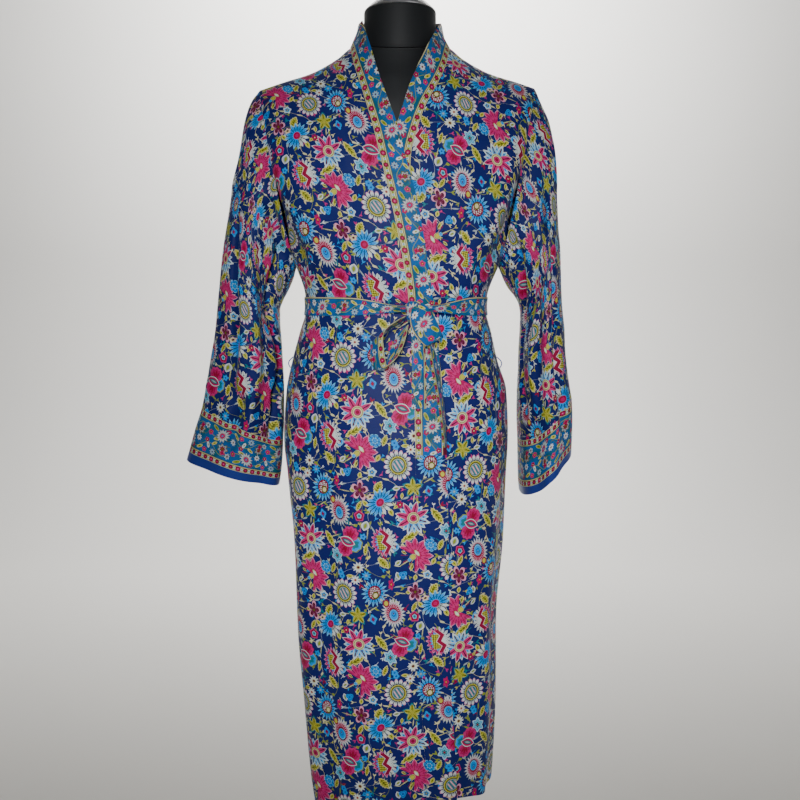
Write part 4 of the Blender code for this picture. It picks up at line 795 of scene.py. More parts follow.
def sleeve_grid(side, sections, folds, creases):
    """A sleeve's rings, the direction out, and its cloth lengths.

    A ring is an oval between an outer and an inner point: x and z follow the cosine of the turn, y its sine.
    Near the armhole it takes the hole's own line.
    """
    rows = np.concatenate([part[(0 if at == 0 else 1):] for at, part in enumerate(sleeve_rows(sections))])
    turn = np.linspace(-math.pi, math.pi, round(SLEEVE_AROUND / sizes().cell / 2) * 2, endpoint=False)
    rise = (1 + np.cos(turn)) / 2
    level = UNDERARM + rise * (SHOULDER_TIP - UNDERARM)
    angle = side * armhole_angle(level)
    angle = np.where(turn >= 0, angle, side * math.pi - angle)
    hole, hole_normal = figure(angle, level), figure_normal(angle, level)
    tip = len(turn) // 2
    away = unit(np.cross(np.roll(hole, -1, axis=0) - np.roll(hole, 1, axis=0), hole_normal))
    away *= np.sign(away[tip, 0] * side)
    hole = hole + away * SEAM_GAP
    read = {one: column(sections, one, rows, by=None) for one in Section._fields}
    outside, inside = (np.stack([side * read[f"{edge}_x"], read["middle"], read[f"{edge}_z"]], axis=1)[:, None]
                       for edge in ("out", "in"))
    grid = (outside + inside) / 2 + np.cos(turn)[None, :, None] * (outside - inside) / 2
    squash = np.sign(np.sin(turn)) * np.abs(np.sin(turn)) ** SLEEVE_ROUND
    grid[..., 1] -= squash[None] * read["depth"][:, None]
    off_line = hole - hole[0] - (hole[tip] - hole[0]) * rise[:, None]
    line = grid[:, :1] + (grid[:, tip : tip + 1] - grid[:, :1]) * rise[None, :, None]
    share = through(range(6), (1.0, 0.85, 0.60, 0.30, 0.10, 0.0), rows)[:, None, None]
    grid = grid * (1 - share) + (line + off_line[None]) * share
    grid = grid + (hole - grid[0])[None] * (1 - ease(rows / 1.5))[:, None, None]
    height = np.zeros(grid.shape[:2])
    for fold in folds:
        along = (rows[:, None] - fold.first) / (fold.last - fold.first)
        across_it = bell(apart(turn, math.radians(fold.angle))[None] / fold.width)
        height = height + fold.depth * across_it * ease(along * 4) * ease((1 - along) * 8)
    around = np.linalg.norm(np.roll(grid, -1, axis=1) - grid, axis=-1)
    round_it = np.concatenate([np.zeros((len(rows), 1)), np.cumsum(around, axis=1)], axis=1)
    round_it = round_it - round_it[:, tip : tip + 1]
    up_it = (hole[:, 2] - hole[tip, 2])[None] - run_along(grid, 0)
    up_it = np.concatenate([up_it, up_it[:, :1]], axis=1)
    small = crease_height(round_it[:, :-1], up_it[:, :-1], creases) * ease(rows / 1.2)[:, None] * sizes().crease
    grid = grid + outwards(grid) * (height + small)[..., None]
    normal = outwards(grid)
    normal[0] = unit(normal[0] - away * np.maximum((normal[0] * away).sum(axis=1, keepdims=True), 0.0))
    return rows, grid, normal, round_it, up_it


def sleeve(side, word, sections, folds, creases):
    """The sleeve's body, its border and its plain edge: parts of the same rings."""
    rows, grid, normal, round_it, up_it = sleeve_grid(side, sections, folds, creases)
    cuts = (
        (f"sleeve_{word}", 0, BORDER_ROW),
        (f"cuff_border_{word}", BORDER_ROW, PLAIN_EDGE_ROW),
        (f"cuff_edge_{word}", PLAIN_EDGE_ROW, len(sections) - 1),
    )
    made = []
    for name, first, last in cuts:
        chosen = np.flatnonzero((rows >= first - 1e-9) & (rows <= last + 1e-9))
        outer, out = grid[chosen], normal[chosen]
        thick = sizes().cloth if first < PLAIN_EDGE_ROW else sizes().band_cloth
        if first == 0:
            uv = laid(-side * round_it[chosen], up_it[chosen], LAYS[name])
        else:
            down = up_it[chosen][:1] - up_it[chosen]
            down = down / down[-1:] * (CUFF_WIDTH if last == PLAIN_EDGE_ROW else PLAIN_EDGE_WIDTH)
            uv = np.stack([side * round_it[chosen], down], axis=-1)
        made.append(shell(f"robe_{name}", outer, outer - out * thick, uv, closed=True))
    return made


# The belt
def belt_waist():
    """The belt round the waist: a strip on the figure at the belt's height, narrowed and lifted towards the knot."""
    left_end = float(angle_at(KNOT_LEFT, BELT_HEIGHT))
    right_end = float(angle_at(KNOT_RIGHT, BELT_HEIGHT))
    angle = np.linspace(left_end, 2 * math.pi + right_end, round(WAIST_AROUND / sizes().cell * 1.4))
    angle = np.where(angle > math.pi, angle - 2 * math.pi, angle)
    base = figure(angle, np.full(angle.shape, BELT_HEIGHT))
    at_front = base[:, 1] < 0
    from_knot = np.minimum(np.abs(base[:, 0] - KNOT_LEFT), np.abs(base[:, 0] - KNOT_RIGHT))
    pinch = np.where(at_front, 1 - ease(from_knot / BELT_PINCH_REACH), 0.0)
    half = BELT_WIDTH / 2 * (1 - BELT_PINCH_SHARE * pinch)
    over_lap = ease((0.110 - base[:, 0]) / 0.050) * ease((base[:, 0] + 0.125) / 0.060)
    at_side = ease((-base[:, 1] - 0.004) / 0.030)
    lift = BELT_SEAT + at_side * (BELT_FRONT_SEAT + (LAP_LIFT + BAND_PROUD) * over_lap)
    lift = lift + BELT_RISE_TO_KNOT * pinch**3
    share = np.linspace(-1, 1, BELT_ROWS)[:, None]
    level = (BELT_HEIGHT - BELT_PINCH_DROP * pinch)[None] + share * half[None]
    turns = np.repeat(angle[None], len(share), axis=0)
    rib = 0.0016 * pinch[None] ** 1.5 * (np.cos(share * 7.0 + 1.2) + 0.6)
    inner = figure(turns, level) + figure_normal(turns, level) * lift[None, :, None]
    normal = grid_normals(inner)
    normal = -normal * np.sign(normal[BELT_ROWS // 2, 0, 1])
    outer = inner + normal * (sizes().belt_cloth + rib)[..., None]
    outer, inner = soft_edges(outer, inner, (np.abs(share) ** 8)[..., None])
    along = run_along(outer, 1)[BELT_ROWS // 2]
    flat = (share + 1) * BELT_WIDTH / 2 + 0.012
    uv = np.stack(np.broadcast_arrays(along[None], flat), axis=-1)
    return shell("robe_belt_waist", outer, inner, uv)


def ribbon(name, stations, offset, flip, curl, edge):
    """A strip of belt along a smooth path: each place is the path's, plus a share of the vector across it."""
    table = np.array(stations)
    at = np.linspace(0.0, len(stations) - 1.0, 14 * (len(stations) - 1) + 1)
    path = np.stack([rounded(table[:, i], at) for i in range(3)], axis=1)
    half = np.stack([rounded(table[:, 3 + i], at) for i in range(3)], axis=1)
    share = np.linspace(-1, 1, BELT_ROWS)
    grid = path[:, None] + half[:, None] * share[None, :, None]
    normal = grid_normals(grid)
    grid = grid + normal * (curl * (share**2 - 0.4))[None, :, None]
    normal = grid_normals(grid)
    thick = sizes().belt_cloth
    outer, inner = grid + normal * thick / 2, grid - normal * thick / 2
    outer, inner = soft_edges(outer, inner, (np.abs(share) ** 8)[None, :, None])
    along = run_along(grid, 0)[:, BELT_ROWS // 2, None] + offset
    flat = (1 + flip * share) * BELT_WIDTH / 2 + edge
    uv = np.stack(np.broadcast_arrays(along, flat[None]), axis=-1)
    return shell(name, outer, inner, uv, doubled=True)


def knot():
    """The knot: a block whose corners are rounded by a sixth power, wrapped by a strip that bulges between grooves."""
    down = np.linspace(0.02, math.pi - 0.02, 36)[:, None]
    turn = np.linspace(-math.pi, math.pi, 60, endpoint=False)[None]
    x, y, z = np.sin(down) * np.cos(turn), np.sin(down) * np.sin(turn), np.cos(down) + 0 * turn
    size = (x**6 + y**6 + z**6) ** (1 / 6)
    x, y, z = x / size, y / size, z / size
    slope = z + 0.55 * x
    wrap = 1 + 0.020 * np.cos(slope * 7.5 + 0.8) - 0.05 * bell((slope + 0.42) / 0.10)
    pull = 0.92 * wrap
    points = np.stack([x * pull, y * pull * 1.04, z * pull], axis=-1)
    points = points * np.array(KNOT_SIZE) / 2 + np.array(KNOT_CENTRE)
    item = solid_of_rings("robe_belt_knot", points)
    layer = item.data.uv_layers.new(name="Cloth")
    co = np.empty(len(item.data.vertices) * 3, dtype=np.float32)
    item.data.vertices.foreach_get("co", co)
    co = co.reshape(-1, 3)
    order = np.empty(len(item.data.loops), dtype=np.int32)
    item.data.loops.foreach_get("vertex_index", order)
    lean = math.radians(28.0)
    right, up = co[order, 0] - KNOT_CENTRE[0], co[order, 2] - KNOT_CENTRE[2]
    uv = np.stack([right * math.cos(lean) - up * math.sin(lean) + 0.031,
                   right * math.sin(lean) + up * math.cos(lean) + 0.026], axis=1)
    layer.data.foreach_set("uv", uv.astype(np.float32).ravel())
    return item


def carrier(name, side):
    """A loop of two-ply thread on the side seam: a tube along half a circle, whose radius swells with its twist."""
    angles = np.linspace(0, math.pi, 49)[:, None]
    place = np.full(2, side * math.pi / 2)
    level = np.array([CARRIER_TOP, CARRIER_LOW])
    seam = figure(place, level) + figure_normal(place, level) * fold_height(place, level)[:, None]
    path = seam[:1] + (seam[1:] - seam[:1]) * (angles / math.pi)
    path[:, 0] += side * (CARRIER_SEAT + CARRIER_OUT * np.sin(angles[:, 0]))
    path[:, 1] -= CARRIER_FORWARD
    ahead = unit(np.gradient(path, axis=0))
    front = np.array([0.0, 1.0, 0.0])
    beside = unit(np.cross(ahead, front))
    turn = np.linspace(0, 2 * math.pi, 12, endpoint=False)[None, :, None]
    swell = THREAD * (0.92 + 0.14 * np.abs(np.cos(turn - angles[:, :, None] * 9.0)))
    grid = path[:, None] + (beside[:, None] * np.cos(turn) + front * np.sin(turn)) * swell
    return solid_of_rings(name, grid)


# The dress form
def slice_reach(height, turns):
    """How far the torso reaches from its middle at a height, for each turn round it, from its front and back sheets."""
    top = UNDERARM + 0.9999 * (SHOULDER_TIP - UNDERARM)
    share = np.linspace(-1, 1, 161)
    if height < UNDERARM:
        angle = share * math.pi
        ring = figure(angle, np.full(angle.shape, height), FORM_RINGS)
        ring[:, :2] *= 0.985
    else:
        half = np.interp(height, [UNDERARM, 1.30], [0.145, 0.155])
        x = share * half
        level = np.minimum(level_at(x, height, FORM_SHOULDERS), top)
        angle = angle_at(x, level)
        sheets = []
        for one in (angle, np.where(angle >= 0, math.pi - angle, -math.pi - angle)):
            deep = FORM_ROOM + FORM_CHEST_ROOM * (1 - ease((rise_of(level) - 0.30) / 0.60))
            face = figure(one, level, RINGS, FORM_SHOULDERS)
            sheets.append(face - figure_normal(one, level, RINGS, FORM_SHOULDERS) * deep[:, None])
        ring = np.concatenate([sheets[0], sheets[1][::-1]])
        on_front = np.arange(len(ring)) < len(share)
        ring[:, 1] = np.where(on_front, np.minimum(ring[:, 1], 0.012), np.maximum(ring[:, 1], 0.018))
    around = np.arctan2(ring[:, 1] - FORM_MIDDLE, ring[:, 0])
    reach = np.hypot(ring[:, 0], ring[:, 1] - FORM_MIDDLE)
    order = np.argsort(around)
    return np.interp(turns, around[order], reach[order], period=2 * math.pi)


def form_torso():
    """The torso: at each height the larger of the body's ring and the neck slope's, joined by a high power."""
    turns = np.linspace(-math.pi, math.pi, FORM_STEPS, endpoint=False)
    straight = FORM_BOTTOM + FORM_ROUNDING
    heights = np.concatenate([np.linspace(FORM_BOTTOM, straight, 5)[:-1], np.linspace(straight, FORM_TOP, 190)])
    rings = []
    for height in heights:
        body = slice_reach(min(height, 1.345), turns)
        body = body * (1 - ease((height - 1.315) / 0.05))
        half, deep, middle = (column(NECK_BASE, one, height) for one in ("half", "deep", "middle"))
        cone = half * deep / np.hypot(deep * np.cos(turns), half * np.sin(turns))
        cone = cone + (middle - FORM_MIDDLE) * np.sin(turns) if height > 1.20 else 0 * cone
        reach = (np.maximum(body, 1e-4) ** FORM_JOIN + np.maximum(cone, 1e-4) ** FORM_JOIN) ** (1 / FORM_JOIN)
        low = 1 - ease((height - FORM_BOTTOM) / FORM_ROUNDING)
        reach = reach * (1 - 0.10 * low**2)
        slope = NECK_SEAM_SLOPE * ease((height - 1.33) / 0.07)
        y = FORM_MIDDLE + reach * np.sin(turns)
        rings.append(np.stack([reach * np.cos(turns), y, height + slope * y], axis=1))
    return solid_of_rings("dress_form_torso", np.array(rings))


def form_neck():
    """The neck above its seam: a cylinder that narrows a little, from the sloping seam to a level top."""
    turn = np.linspace(0, 2 * math.pi, 96, endpoint=False)[None]
    share = np.linspace(0, 1, 24)[:, None]
    round_low = 1 - 0.020 * np.exp(-share * 26)
    radius = NECK_RADIUS * (1 - 0.010 * share) * round_low
    x = radius * np.cos(turn)
    y = NECK_CENTRE_Y + radius * np.sin(turn)
    low = NECK_SEAM + SEAM_GAP + NECK_SEAM_SLOPE * y
    grid = np.stack([x, y, low * (1 - share) + NECK_TOP * share], axis=-1)
    return solid_of_rings("dress_form_neck", grid)


def turned(name, profile, centre=(0.0, 0.0), steps=96):
    """A turned solid: a profile of radius and height, rounded at its corners, carried round the axis."""
    profile = np.array(profile)
    turn = np.linspace(0, 2 * math.pi, steps, endpoint=False)[None]
    grid = np.stack([centre[0] + profile[:, :1] * np.cos(turn), centre[1] + profile[:, :1] * np.sin(turn),
                     profile[:, 1:] + 0 * turn], axis=-1)
    return solid_of_rings(name, grid)


# Materials: the arithmetic of sockets, and the one method that adds a node
class Ink:
    """One socket of a material, whose sums, differences, products and quotients add Math nodes."""

    def __init__(self, paint, socket):
        self.paint = paint
        self.socket = socket

    def math(self, operation, *rest):
        """A Math node on this socket and other values."""
        return self.paint.node("ShaderNodeMath", {"operation": operation}, dict(enumerate((self, *rest))))

    def times(self, factor, term):
        """This, times a factor, plus a term."""
        return self.math("MULTIPLY_ADD", factor, term)

    def __add__(self, other):
        return self.math("ADD", other)

    __radd__ = __add__

    def __sub__(self, other):
        return self.math("SUBTRACT", other)

    def __rsub__(self, other):
        return self.paint.node("ShaderNodeMath", {"operation": "SUBTRACT"}, {0: other, 1: self})

    def __mul__(self, other):
        return self.math("MULTIPLY", other)

    __rmul__ = __mul__

    def __truediv__(self, other):
        return self.math("DIVIDE", other)

    def __abs__(self):
        return self.math("ABSOLUTE")

    def __lt__(self, other):
        return self.math("LESS_THAN", other)

    def __gt__(self, other):
        return self.math("GREATER_THAN", other)


def linear(code):
    """A colour's six hexadecimal digits as three linear shares of light."""
    shares = [int(code[i : i + 2], 16) / 255 for i in (0, 2, 4)]
    return tuple(one / 12.92 if one <= 0.04045 else ((one + 0.055) / 1.055) ** 2.4 for one in shares)


INKS = {name: linear(code) for name, code in {
    "magenta": "b5125c", "pink": "c22f74", "blush": "d896b2", "sky": "1a8ee0", "pale_sky": "6cbae2", "deep": "0b4a9c",
    "white": "cdd6d6", "grey": "9aa7a9", "cream": "d0cc98", "yellow": "bfbb44", "olive": "5c5c10", "red": "8e1034",
    "dark_red": "560f2a", "plum": "7a2c54", "teal": "1d7480", "navy": "070f34", "leaf": "86952c",
}.items()}


class Paint:
    """A material's node tree, and the one method that adds a node to it."""

    def __init__(self, name):
        self.look = bpy.data.materials.new(name)
        self.look.use_nodes = True
        self.tree = self.look.node_tree
        self.shader = self.tree.nodes["Principled BSDF"]

    def node(self, kind, settings=None, values=None, output=0):
        """Adds a node: its settings first, then the values or links of its sockets."""
        made = self.tree.nodes.new(kind)
        for name, value in (settings or {}).items():
            if name == "stops":
                self.stops(made.color_ramp, value)
            else:
                setattr(made, name, value)
        for key, value in (values or {}).items():
            self.fill(made.inputs[key], value)
        return Ink(self, made.outputs[output])

    def fill(self, socket, value):
        """Links a socket, or sets its value. A colour's three shares get their fourth."""
        if isinstance(value, Ink):
            self.tree.links.new(value.socket, socket)
        elif socket.type == "RGBA":
            socket.default_value = (*value, 1.0)
        else:
            socket.default_value = value

    def stops(self, ramp, text):
        """Sets a ramp's stops from words: each ink up to the number that follows it. The ink none is clear."""
        words = text.split()
        ramp.interpolation = "CONSTANT"
        while len(ramp.elements) < len(words[::2]):
            ramp.elements.new(1.0)
        for element, place, ink in zip(ramp.elements, ["0", *words[1::2]], words[::2]):
            element.position = float(place)
            element.color = (0, 0, 0, 0) if ink == "none" else (*INKS[ink], 1.0)

    def mix(self, share, below, above):
        """A colour between two others."""
        values = {0: share, 6: below, 7: above}
        return self.node("ShaderNodeMix", {"data_type": "RGBA"}, values, output=2)

    def over(self, colour, value, inks, where=None):
        """Prints a ramp's inks over a colour: the ramp's clearness is the mask, times where."""
        ramp = self.node("ShaderNodeValToRGB", {"stops": inks}, {0: value})
        clear = Ink(self, ramp.socket.node.outputs[1])
        return self.mix(clear if where is None else clear * where, colour, ramp)

    def vectors(self, operation, *values, output=0):
        """Vector maths on some values."""
        return self.node("ShaderNodeVectorMath", {"operation": operation}, dict(enumerate(values)), output)

    def dot(self, vector, along):
        """The dot product of two vectors: a length along a direction."""
        return self.vectors("DOT_PRODUCT", vector, along, output=1)

    def shaded(self, colour, shade):
        """A colour made lighter or darker."""
        return self.node("ShaderNodeVectorMath", {"operation": "SCALE"}, {0: colour, "Scale": shade})

    def place(self):
        """The piece's own coordinates, in metres."""
        return self.node("ShaderNodeTexCoord", output=3)

    def noise(self, place, scale, detail):
        """Soft noise, whose patches come scale times to the metre."""
        return self.node("ShaderNodeTexNoise", None, {"Vector": place, "Scale": scale, "Detail": detail})

    def points(self, place, scale, chance):
        """Distance from the nearest of many points, strewn the more freely the greater the chance."""
        return self.node("ShaderNodeTexVoronoi", {"voronoi_dimensions": "2D"},
                         {"Vector": place, "Scale": scale, "Randomness": chance})

    def bump(self, relief, strength=1.0, distance=0.001):
        """A bump from a relief."""
        return self.node("ShaderNodeBump", None, {"Strength": strength, "Distance": distance, "Height": relief})

    def feed(self, **sockets):
        """Sets or links the shader's sockets by their names, with _ for a space."""
        for name, value in sockets.items():
            self.fill(self.shader.inputs[name.replace("_", " ")], value)
        return self.look


# The floral print's repeat: two steps, in metres, that carry the print onto itself
STEP_A = (0.168, 0.044)
STEP_B = (0.084, -0.161)

LARGE_LEAF = 0.0085

# Places in the repeat, from the lotus: middle, half length, half width, turn. A blossom has its petals' number, the
# share that is cut in between them, and its inks from the middle out, each up to the number that follows it
Spot = namedtuple("Spot", "right up long wide turn")
Blossom = namedtuple("Blossom", "right up long wide turn petals depth inks")
NOT_LENGTHS = "turn petals depth inks"
LEAVES = table(Spot, NOT_LENGTHS,
    (24, -57.4, 11, 6.4, 62), (34, 14, 9.5, 4, 70), (65, 6.2, 6.5, 3, 0), (24, -12.4, 6, 3.6, 64),
    (43.2, -95.5, 7, 3.8, -62), (5, -155.6, 10, 3.2, 82), (-5, -86.5, 9, 3.6, 66), (4.7, -82.7, 7, 3.4, -48),
    (72, -134, 17, 5.6, 33), (-52.5, -15, 12, 6, -48), (112.5, -100.8, 16, 5.6, -54), (-3.5, -38.8, 5, 3.2, 80),
    (-9, -22, 6.5, 2.6, 74), (-21, 2, 4.6, 2.2, -30), (51, -87, 5, 2.2, 40), (96, -62, 5.5, 2.2, 30),
    (60, -70, 5, 2.4, 84), (-14, -62, 4.2, 3.4, 0), (30, -66, 6, 1.8, 20))
STEMS = table(Spot, NOT_LENGTHS,
    (-19, -14.5, 12, 1, 34), (-31, -20, 6, 0.9, -8), (8, -128, 13, 0.9, 84), (-26.5, -63.5, 11, 0.9, -6),
    (19, -71, 7, 0.9, -20), (78, -74, 7, 1, 84), (57, -56, 9, 0.9, 4), (-46, -138, 13, 0.9, 24),
    (100, -45, 10, 0.9, 32), (52, -12, 9, 0.9, -72))
PALE_LEAVES = table(Spot, NOT_LENGTHS,
    (-30, -14.9, 6, 3.6, 40), (-30, -35.5, 6.5, 4, -70), (51.6, -58.4, 6, 3.6, 10), (4.5, -117.8, 8, 6.4, 72))
BLOSSOMS = table(Blossom, NOT_LENGTHS,
    (-36, 10.9, 8, 8, 0, 4, 0.1, "red 0.36 navy 0.5 sky 0.8 pale_sky"),
    (-22.5, -34.1, 7.5, 7, 40, 3, 0.35, "deep 0.3 sky 0.62 deep 0.76 sky"),
    (-6.5, -184, 9.5, 9.5, 0, 10, 0.52, "dark_red 0.3 yellow 0.42 white"),
    (-11, -204.6, 8, 8, 12, 9, 0.5, "red 0.28 cream 0.4 white"),
    (5.7, -196.9, 8, 8, 20, 8, 0.55, "grey 0.3 teal 0.42 sky"), (-33, -200, 5.5, 5.5, 0, 5, 0.25, "deep 0.35 sky"),
    (-40.5, -49.6, 4.8, 10, 0, 5, 0.4, "yellow 0.18 red 0.45 magenta"),
    (57, -83.7, 6.5, 6.5, 30, 7, 0.45, "cream 0.22 red 0.7 magenta"),
    (-4.5, -102.3, 8, 9.5, 20, 5, 0.22, "teal 0.28 pale_sky 0.46 red 0.8 pink"),
    (15, -34.1, 7.5, 7.5, 10, 5, 0.3, "yellow 0.18 deep 0.45 pale_sky 0.75 white"),
    (48.6, 10.4, 5.5, 5.5, 0, 5, 0.25, "deep 0.3 sky"),
    (42, 35.7, 11, 14, 24, 6, 0.38, "red 0.16 teal 0.4 pale_sky 0.6 teal 0.68 pale_sky 0.9 white"),
    (100, -62, 6, 8.5, 15, 4, 0.3, "red 0.4 deep 0.55 sky"), (1.2, -134.9, 5.5, 5.5, 0, 5, 0.4, "deep 0.3 sky"),
    (30, -66, 5, 4, 0, 4, 0.3, "olive 0.4 cream"))


class Cloth(Paint):
    """A printed cloth: the print's own coordinates, and the flowers and leaves that are printed on it."""

    def __init__(self, name, ground):
        super().__init__(name)
        self.lengths = self.node("ShaderNodeUVMap", {"uv_map": "Cloth"})
        self.counted = self.steps()
        self.colour = tuple(ground)

    def motif(self, name, draw, *rest):
        """Draws in a node group of its own, from the cloth's lengths, the steps and the colour so far."""
        tree, lengths, counted, colour = self.tree, self.lengths, self.counted, self.colour
        group = bpy.data.node_groups.new(name, "ShaderNodeTree")
        for title, kind in (("Lengths", "Vector"), ("Steps", "Vector"), ("Colour", "Color")):
            group.interface.new_socket(title, in_out="INPUT", socket_type=f"NodeSocket{kind}")
        group.interface.new_socket("Colour", in_out="OUTPUT", socket_type="NodeSocketColor")
        self.tree = group
        given = group.nodes.new("NodeGroupInput").outputs
        self.lengths, self.counted, self.colour = (Ink(self, given[at]) for at in range(3))
        draw(*rest)
        group.links.new(self.colour.socket, group.nodes.new("NodeGroupOutput").inputs[0])
        self.tree, self.lengths, self.counted = tree, lengths, counted
        self.colour = self.node("ShaderNodeGroup", {"node_tree": group}, {0: lengths, 1: counted, 2: colour})

    def stamp(self, value, inks, where=None):
        """Prints a ramp's inks over the colour so far."""
        self.colour = self.over(self.colour, value, inks, where)

    def touch(self, mask, ink):
        """Prints one ink where the mask is 1."""
        self.colour = self.mix(mask, self.colour, INKS[ink])

    def repeat(self, right, up):
        """How many steps of the repeat a place is along, as a vector: the inverse of the two steps."""
        size = STEP_A[0] * STEP_B[1] - STEP_B[0] * STEP_A[1]
        return (right * STEP_B[1] - up * STEP_B[0]) / size, (up * STEP_A[0] - right * STEP_A[1]) / size

    def steps(self):
        """The cloth's lengths as numbers of steps."""
        return self.pair(*(self.dot(self.lengths, (*one, 0)) for one in zip(self.repeat(1, 0), self.repeat(0, 1))))

    def pair(self, x, y):
        """A vector of two values and 0."""
        return self.node("ShaderNodeCombineXYZ", None, {0: x, 1: y})

    def local(self, right, up, long, wide, turn):
        """Coordinates of a spot that is repeated: 1 at its half length and its half width."""
        near = self.vectors("SUBTRACT", self.counted, (*self.repeat(right, up), 0))
        near = self.vectors("WRAP", near, (0.5, 0.5, 0.5), (-0.5, -0.5, -0.5))
        turn = math.radians(turn)
        cos, sin = math.cos(turn), math.sin(turn)
        x_axis = [(step[0] * cos + step[1] * sin) / long for step in (STEP_A, STEP_B)]
        y_axis = [(step[1] * cos - step[0] * sin) / wide for step in (STEP_A, STEP_B)]
        return self.dot(near, (*x_axis, 0)), self.dot(near, (*y_axis, 0))

    def flower(self, right, up, long, wide, turn):
        """Coordinates of a flower's part, whose place and sizes are in millimetres and its turn in degrees."""
        return self.local(right / 1000, up / 1000, long / 1000, wide / 1000, turn)

    def petals(self, x, y, count, depth, soft=False):
        """Distance from a flower's middle, the same over its petalled rim, the turn round it, and the gap's share."""
        reach = (x * x + y * y).math("SQRT")
        turn = y.math("ARCTAN2", x)
        gap = turn.math("PINGPONG", math.pi / count) * (count / math.pi)
        shape = gap * gap if soft else gap
        return reach, reach / shape.times(-depth, 1), turn, gap

    def leaf(self, spot, inks):
        """A pointed leaf: the square of its length and the size of its width reach 1 at its edge.

        A large one has teeth, a wave along its length, and veins that lean away from its middle.
        """
        x, y = self.local(*spot)
        size = abs(y)
        edge = x.times(x, size)
        if spot.long > LARGE_LEAF:
            edge = (x * 19).math("SINE").times(0.09, edge)
        self.stamp(edge, inks + " 1 none")
        if spot.long > LARGE_LEAF:
            vein = (x * 2.6 - size * 1.3).math("PINGPONG", 0.5)
            self.touch((vein > 0.34) * edge.math("COMPARE", 0.45, 0.33), "olive")

    def blossom(self, spot):
        """A small flower: inks in rings out to its petalled rim."""
        x, y = self.local(*spot[:5])
        _, rim, _, _ = self.petals(x, y, spot.petals, spot.depth)
        self.stamp(rim, spot.inks + " 1 none")

    def vines(self):
        """Thin stems: lines along which a bent sine of the steps is zero, with leaflets beside them."""
        a = self.dot(self.counted, (1, 0, 0))
        b = self.dot(self.counted, (0, 1, 0))
        for first, second, twist, bend, beat, ink in (
            (a, b, 4 * math.pi, 0.75, 22 * math.pi, "cream"),
            (b, a, 4 * math.pi, -0.80, 20 * math.pi, "leaf"),
            (a + b, a - b, 2 * math.pi, 1.10, 10 * math.pi, "grey"),
        ):
            wave = (second * twist).math("SINE") * bend
            line = abs(first.times(2 * math.pi, wave).math("SINE"))
            leaflet = (second * beat).math("SINE").math("SUBTRACT", 0.45).math("MAXIMUM", 0)
            self.stamp(leaflet.times(-0.15, line), ink + " 0.0105 none")

    def sprigs(self, scale, long, wide, apart, inks):
        """Small sprigs thrown over the ground, one in each random cell: two leaflets that open from a point."""
        cells = self.points(self.lengths, scale, 0.9)
        chance, middle = (Ink(self, cells.socket.node.outputs[name]) for name in ("Color", "Position"))
        near = self.vectors("SUBTRACT", self.lengths, middle)
        turn = self.dot(chance, (0, 6.28, 0))
        cos, sin = turn.math("COSINE"), turn.math("SINE")
        x = self.dot(near, self.pair(cos, sin))
        y = abs(self.dot(near, self.pair(sin * -1, cos)))
        lean_cos, lean_sin = math.cos(apart), math.sin(apart)
        long_off = x.times(lean_cos / long, y * (lean_sin / long)) - 0.8
        wide_off = y.times(lean_cos / wide, x * (-lean_sin / wide))
        inside = long_off.times(long_off, abs(wide_off)) < 1
        stalk = (y < wide * 0.36) * x.math("COMPARE", -0.9 * long, long)
        inside = inside.math("MAXIMUM", stalk)
        self.stamp(self.dot(chance, (1, 0, 0)), inks, inside)

    def bloom(self, right, up, long, wide, turn, petals, depth, soft=False):
        """The coordinates of a flower, and all that petals says of it."""
        x, y = self.flower(right, up, long, wide, turn)
        return x, y, *self.petals(x, y, petals, depth, soft)

    def slits(self, reach, rim, gap, start, wide=0.16, ink="navy"):
        """Dark gaps between a flower's petals, from a distance from its middle out to its rim."""
        self.touch((gap > 1 - wide) * (reach > start) * (rim < 1), ink)

    def veins(self, reach, rim, gap, start, end, wide=0.16, ink="red"):
        """Lines down the middle of a flower's petals, between two distances."""
        self.touch((gap < wide) * (reach > start) * (rim < end), ink)

    def lotus(self):
        """A half-open flower of twelve petals, its heart of three ovals, and a round bloom beside it."""
        reach, rim, turn, gap = self.bloom(-3.5, -3.1, 27.5, 29.5, 30, 12, 0.30)[2:]
        facing = turn.math("COMPARE", 0, math.radians(124))
        self.stamp(rim, "magenta 0.34 red 0.38 pink 0.62 magenta 0.7 pink 0.88 magenta 0.93 blush 1 none", facing)
        self.slits(reach, rim, gap, 0.52, 0.11)
        self.veins(reach, rim, gap, 0.40, 0.80, 0.11)
        x, y = self.flower(-7.5, -6, 5.4, 4.6, 40)
        self.stamp(x * x + y * y, "yellow 0.55 olive 0.75 cream 1 none")
        x, y = self.flower(-1, 0.5, 3, 6.4, 40)
        self.stamp(x * x + abs(y), "white 0.5 cream 0.86 olive 1 none")
        x, y = self.flower(-12.5, -10, 2.8, 2.8, 0)
        self.stamp(x * x + y * y, "sky 0.6 pale_sky 1 none")
        reach, rim, _, gap = self.bloom(19.5, 13.5, 11, 9, 120, 7, 0.20, soft=True)[2:]
        self.stamp(rim, "sky 0.24 deep 0.32 pale_sky 0.52 deep 0.6 sky 0.82 deep 0.88 pale_sky 1 none")
        self.slits(reach, rim, gap, 0.30, 0.22, "deep")

    def round_flower(self):
        """A round flower of sixteen soft petals, whose middle is striped by a sine."""
        x, y, reach, rim, _, gap = self.bloom(54, -23.3, 21.5, 23.5, 8, 16, 0.24, soft=True)
        self.stamp(rim, "olive 0.62 navy 0.67 grey 0.78 white 0.93 blush 1 none")
        self.slits(reach, rim, gap, 0.60, 0.22)
        self.stamp(reach, "teal 0.38 grey 0.43 olive 0.52 yellow 0.58 none")
        stroke = (x * 0.9 + y * 0.43) * 25
        self.stamp(stroke.math("SINE") * 0.5 + 0.5, "none 0.46 grey 0.62 pink 0.9 white 1 white", reach < 0.34)

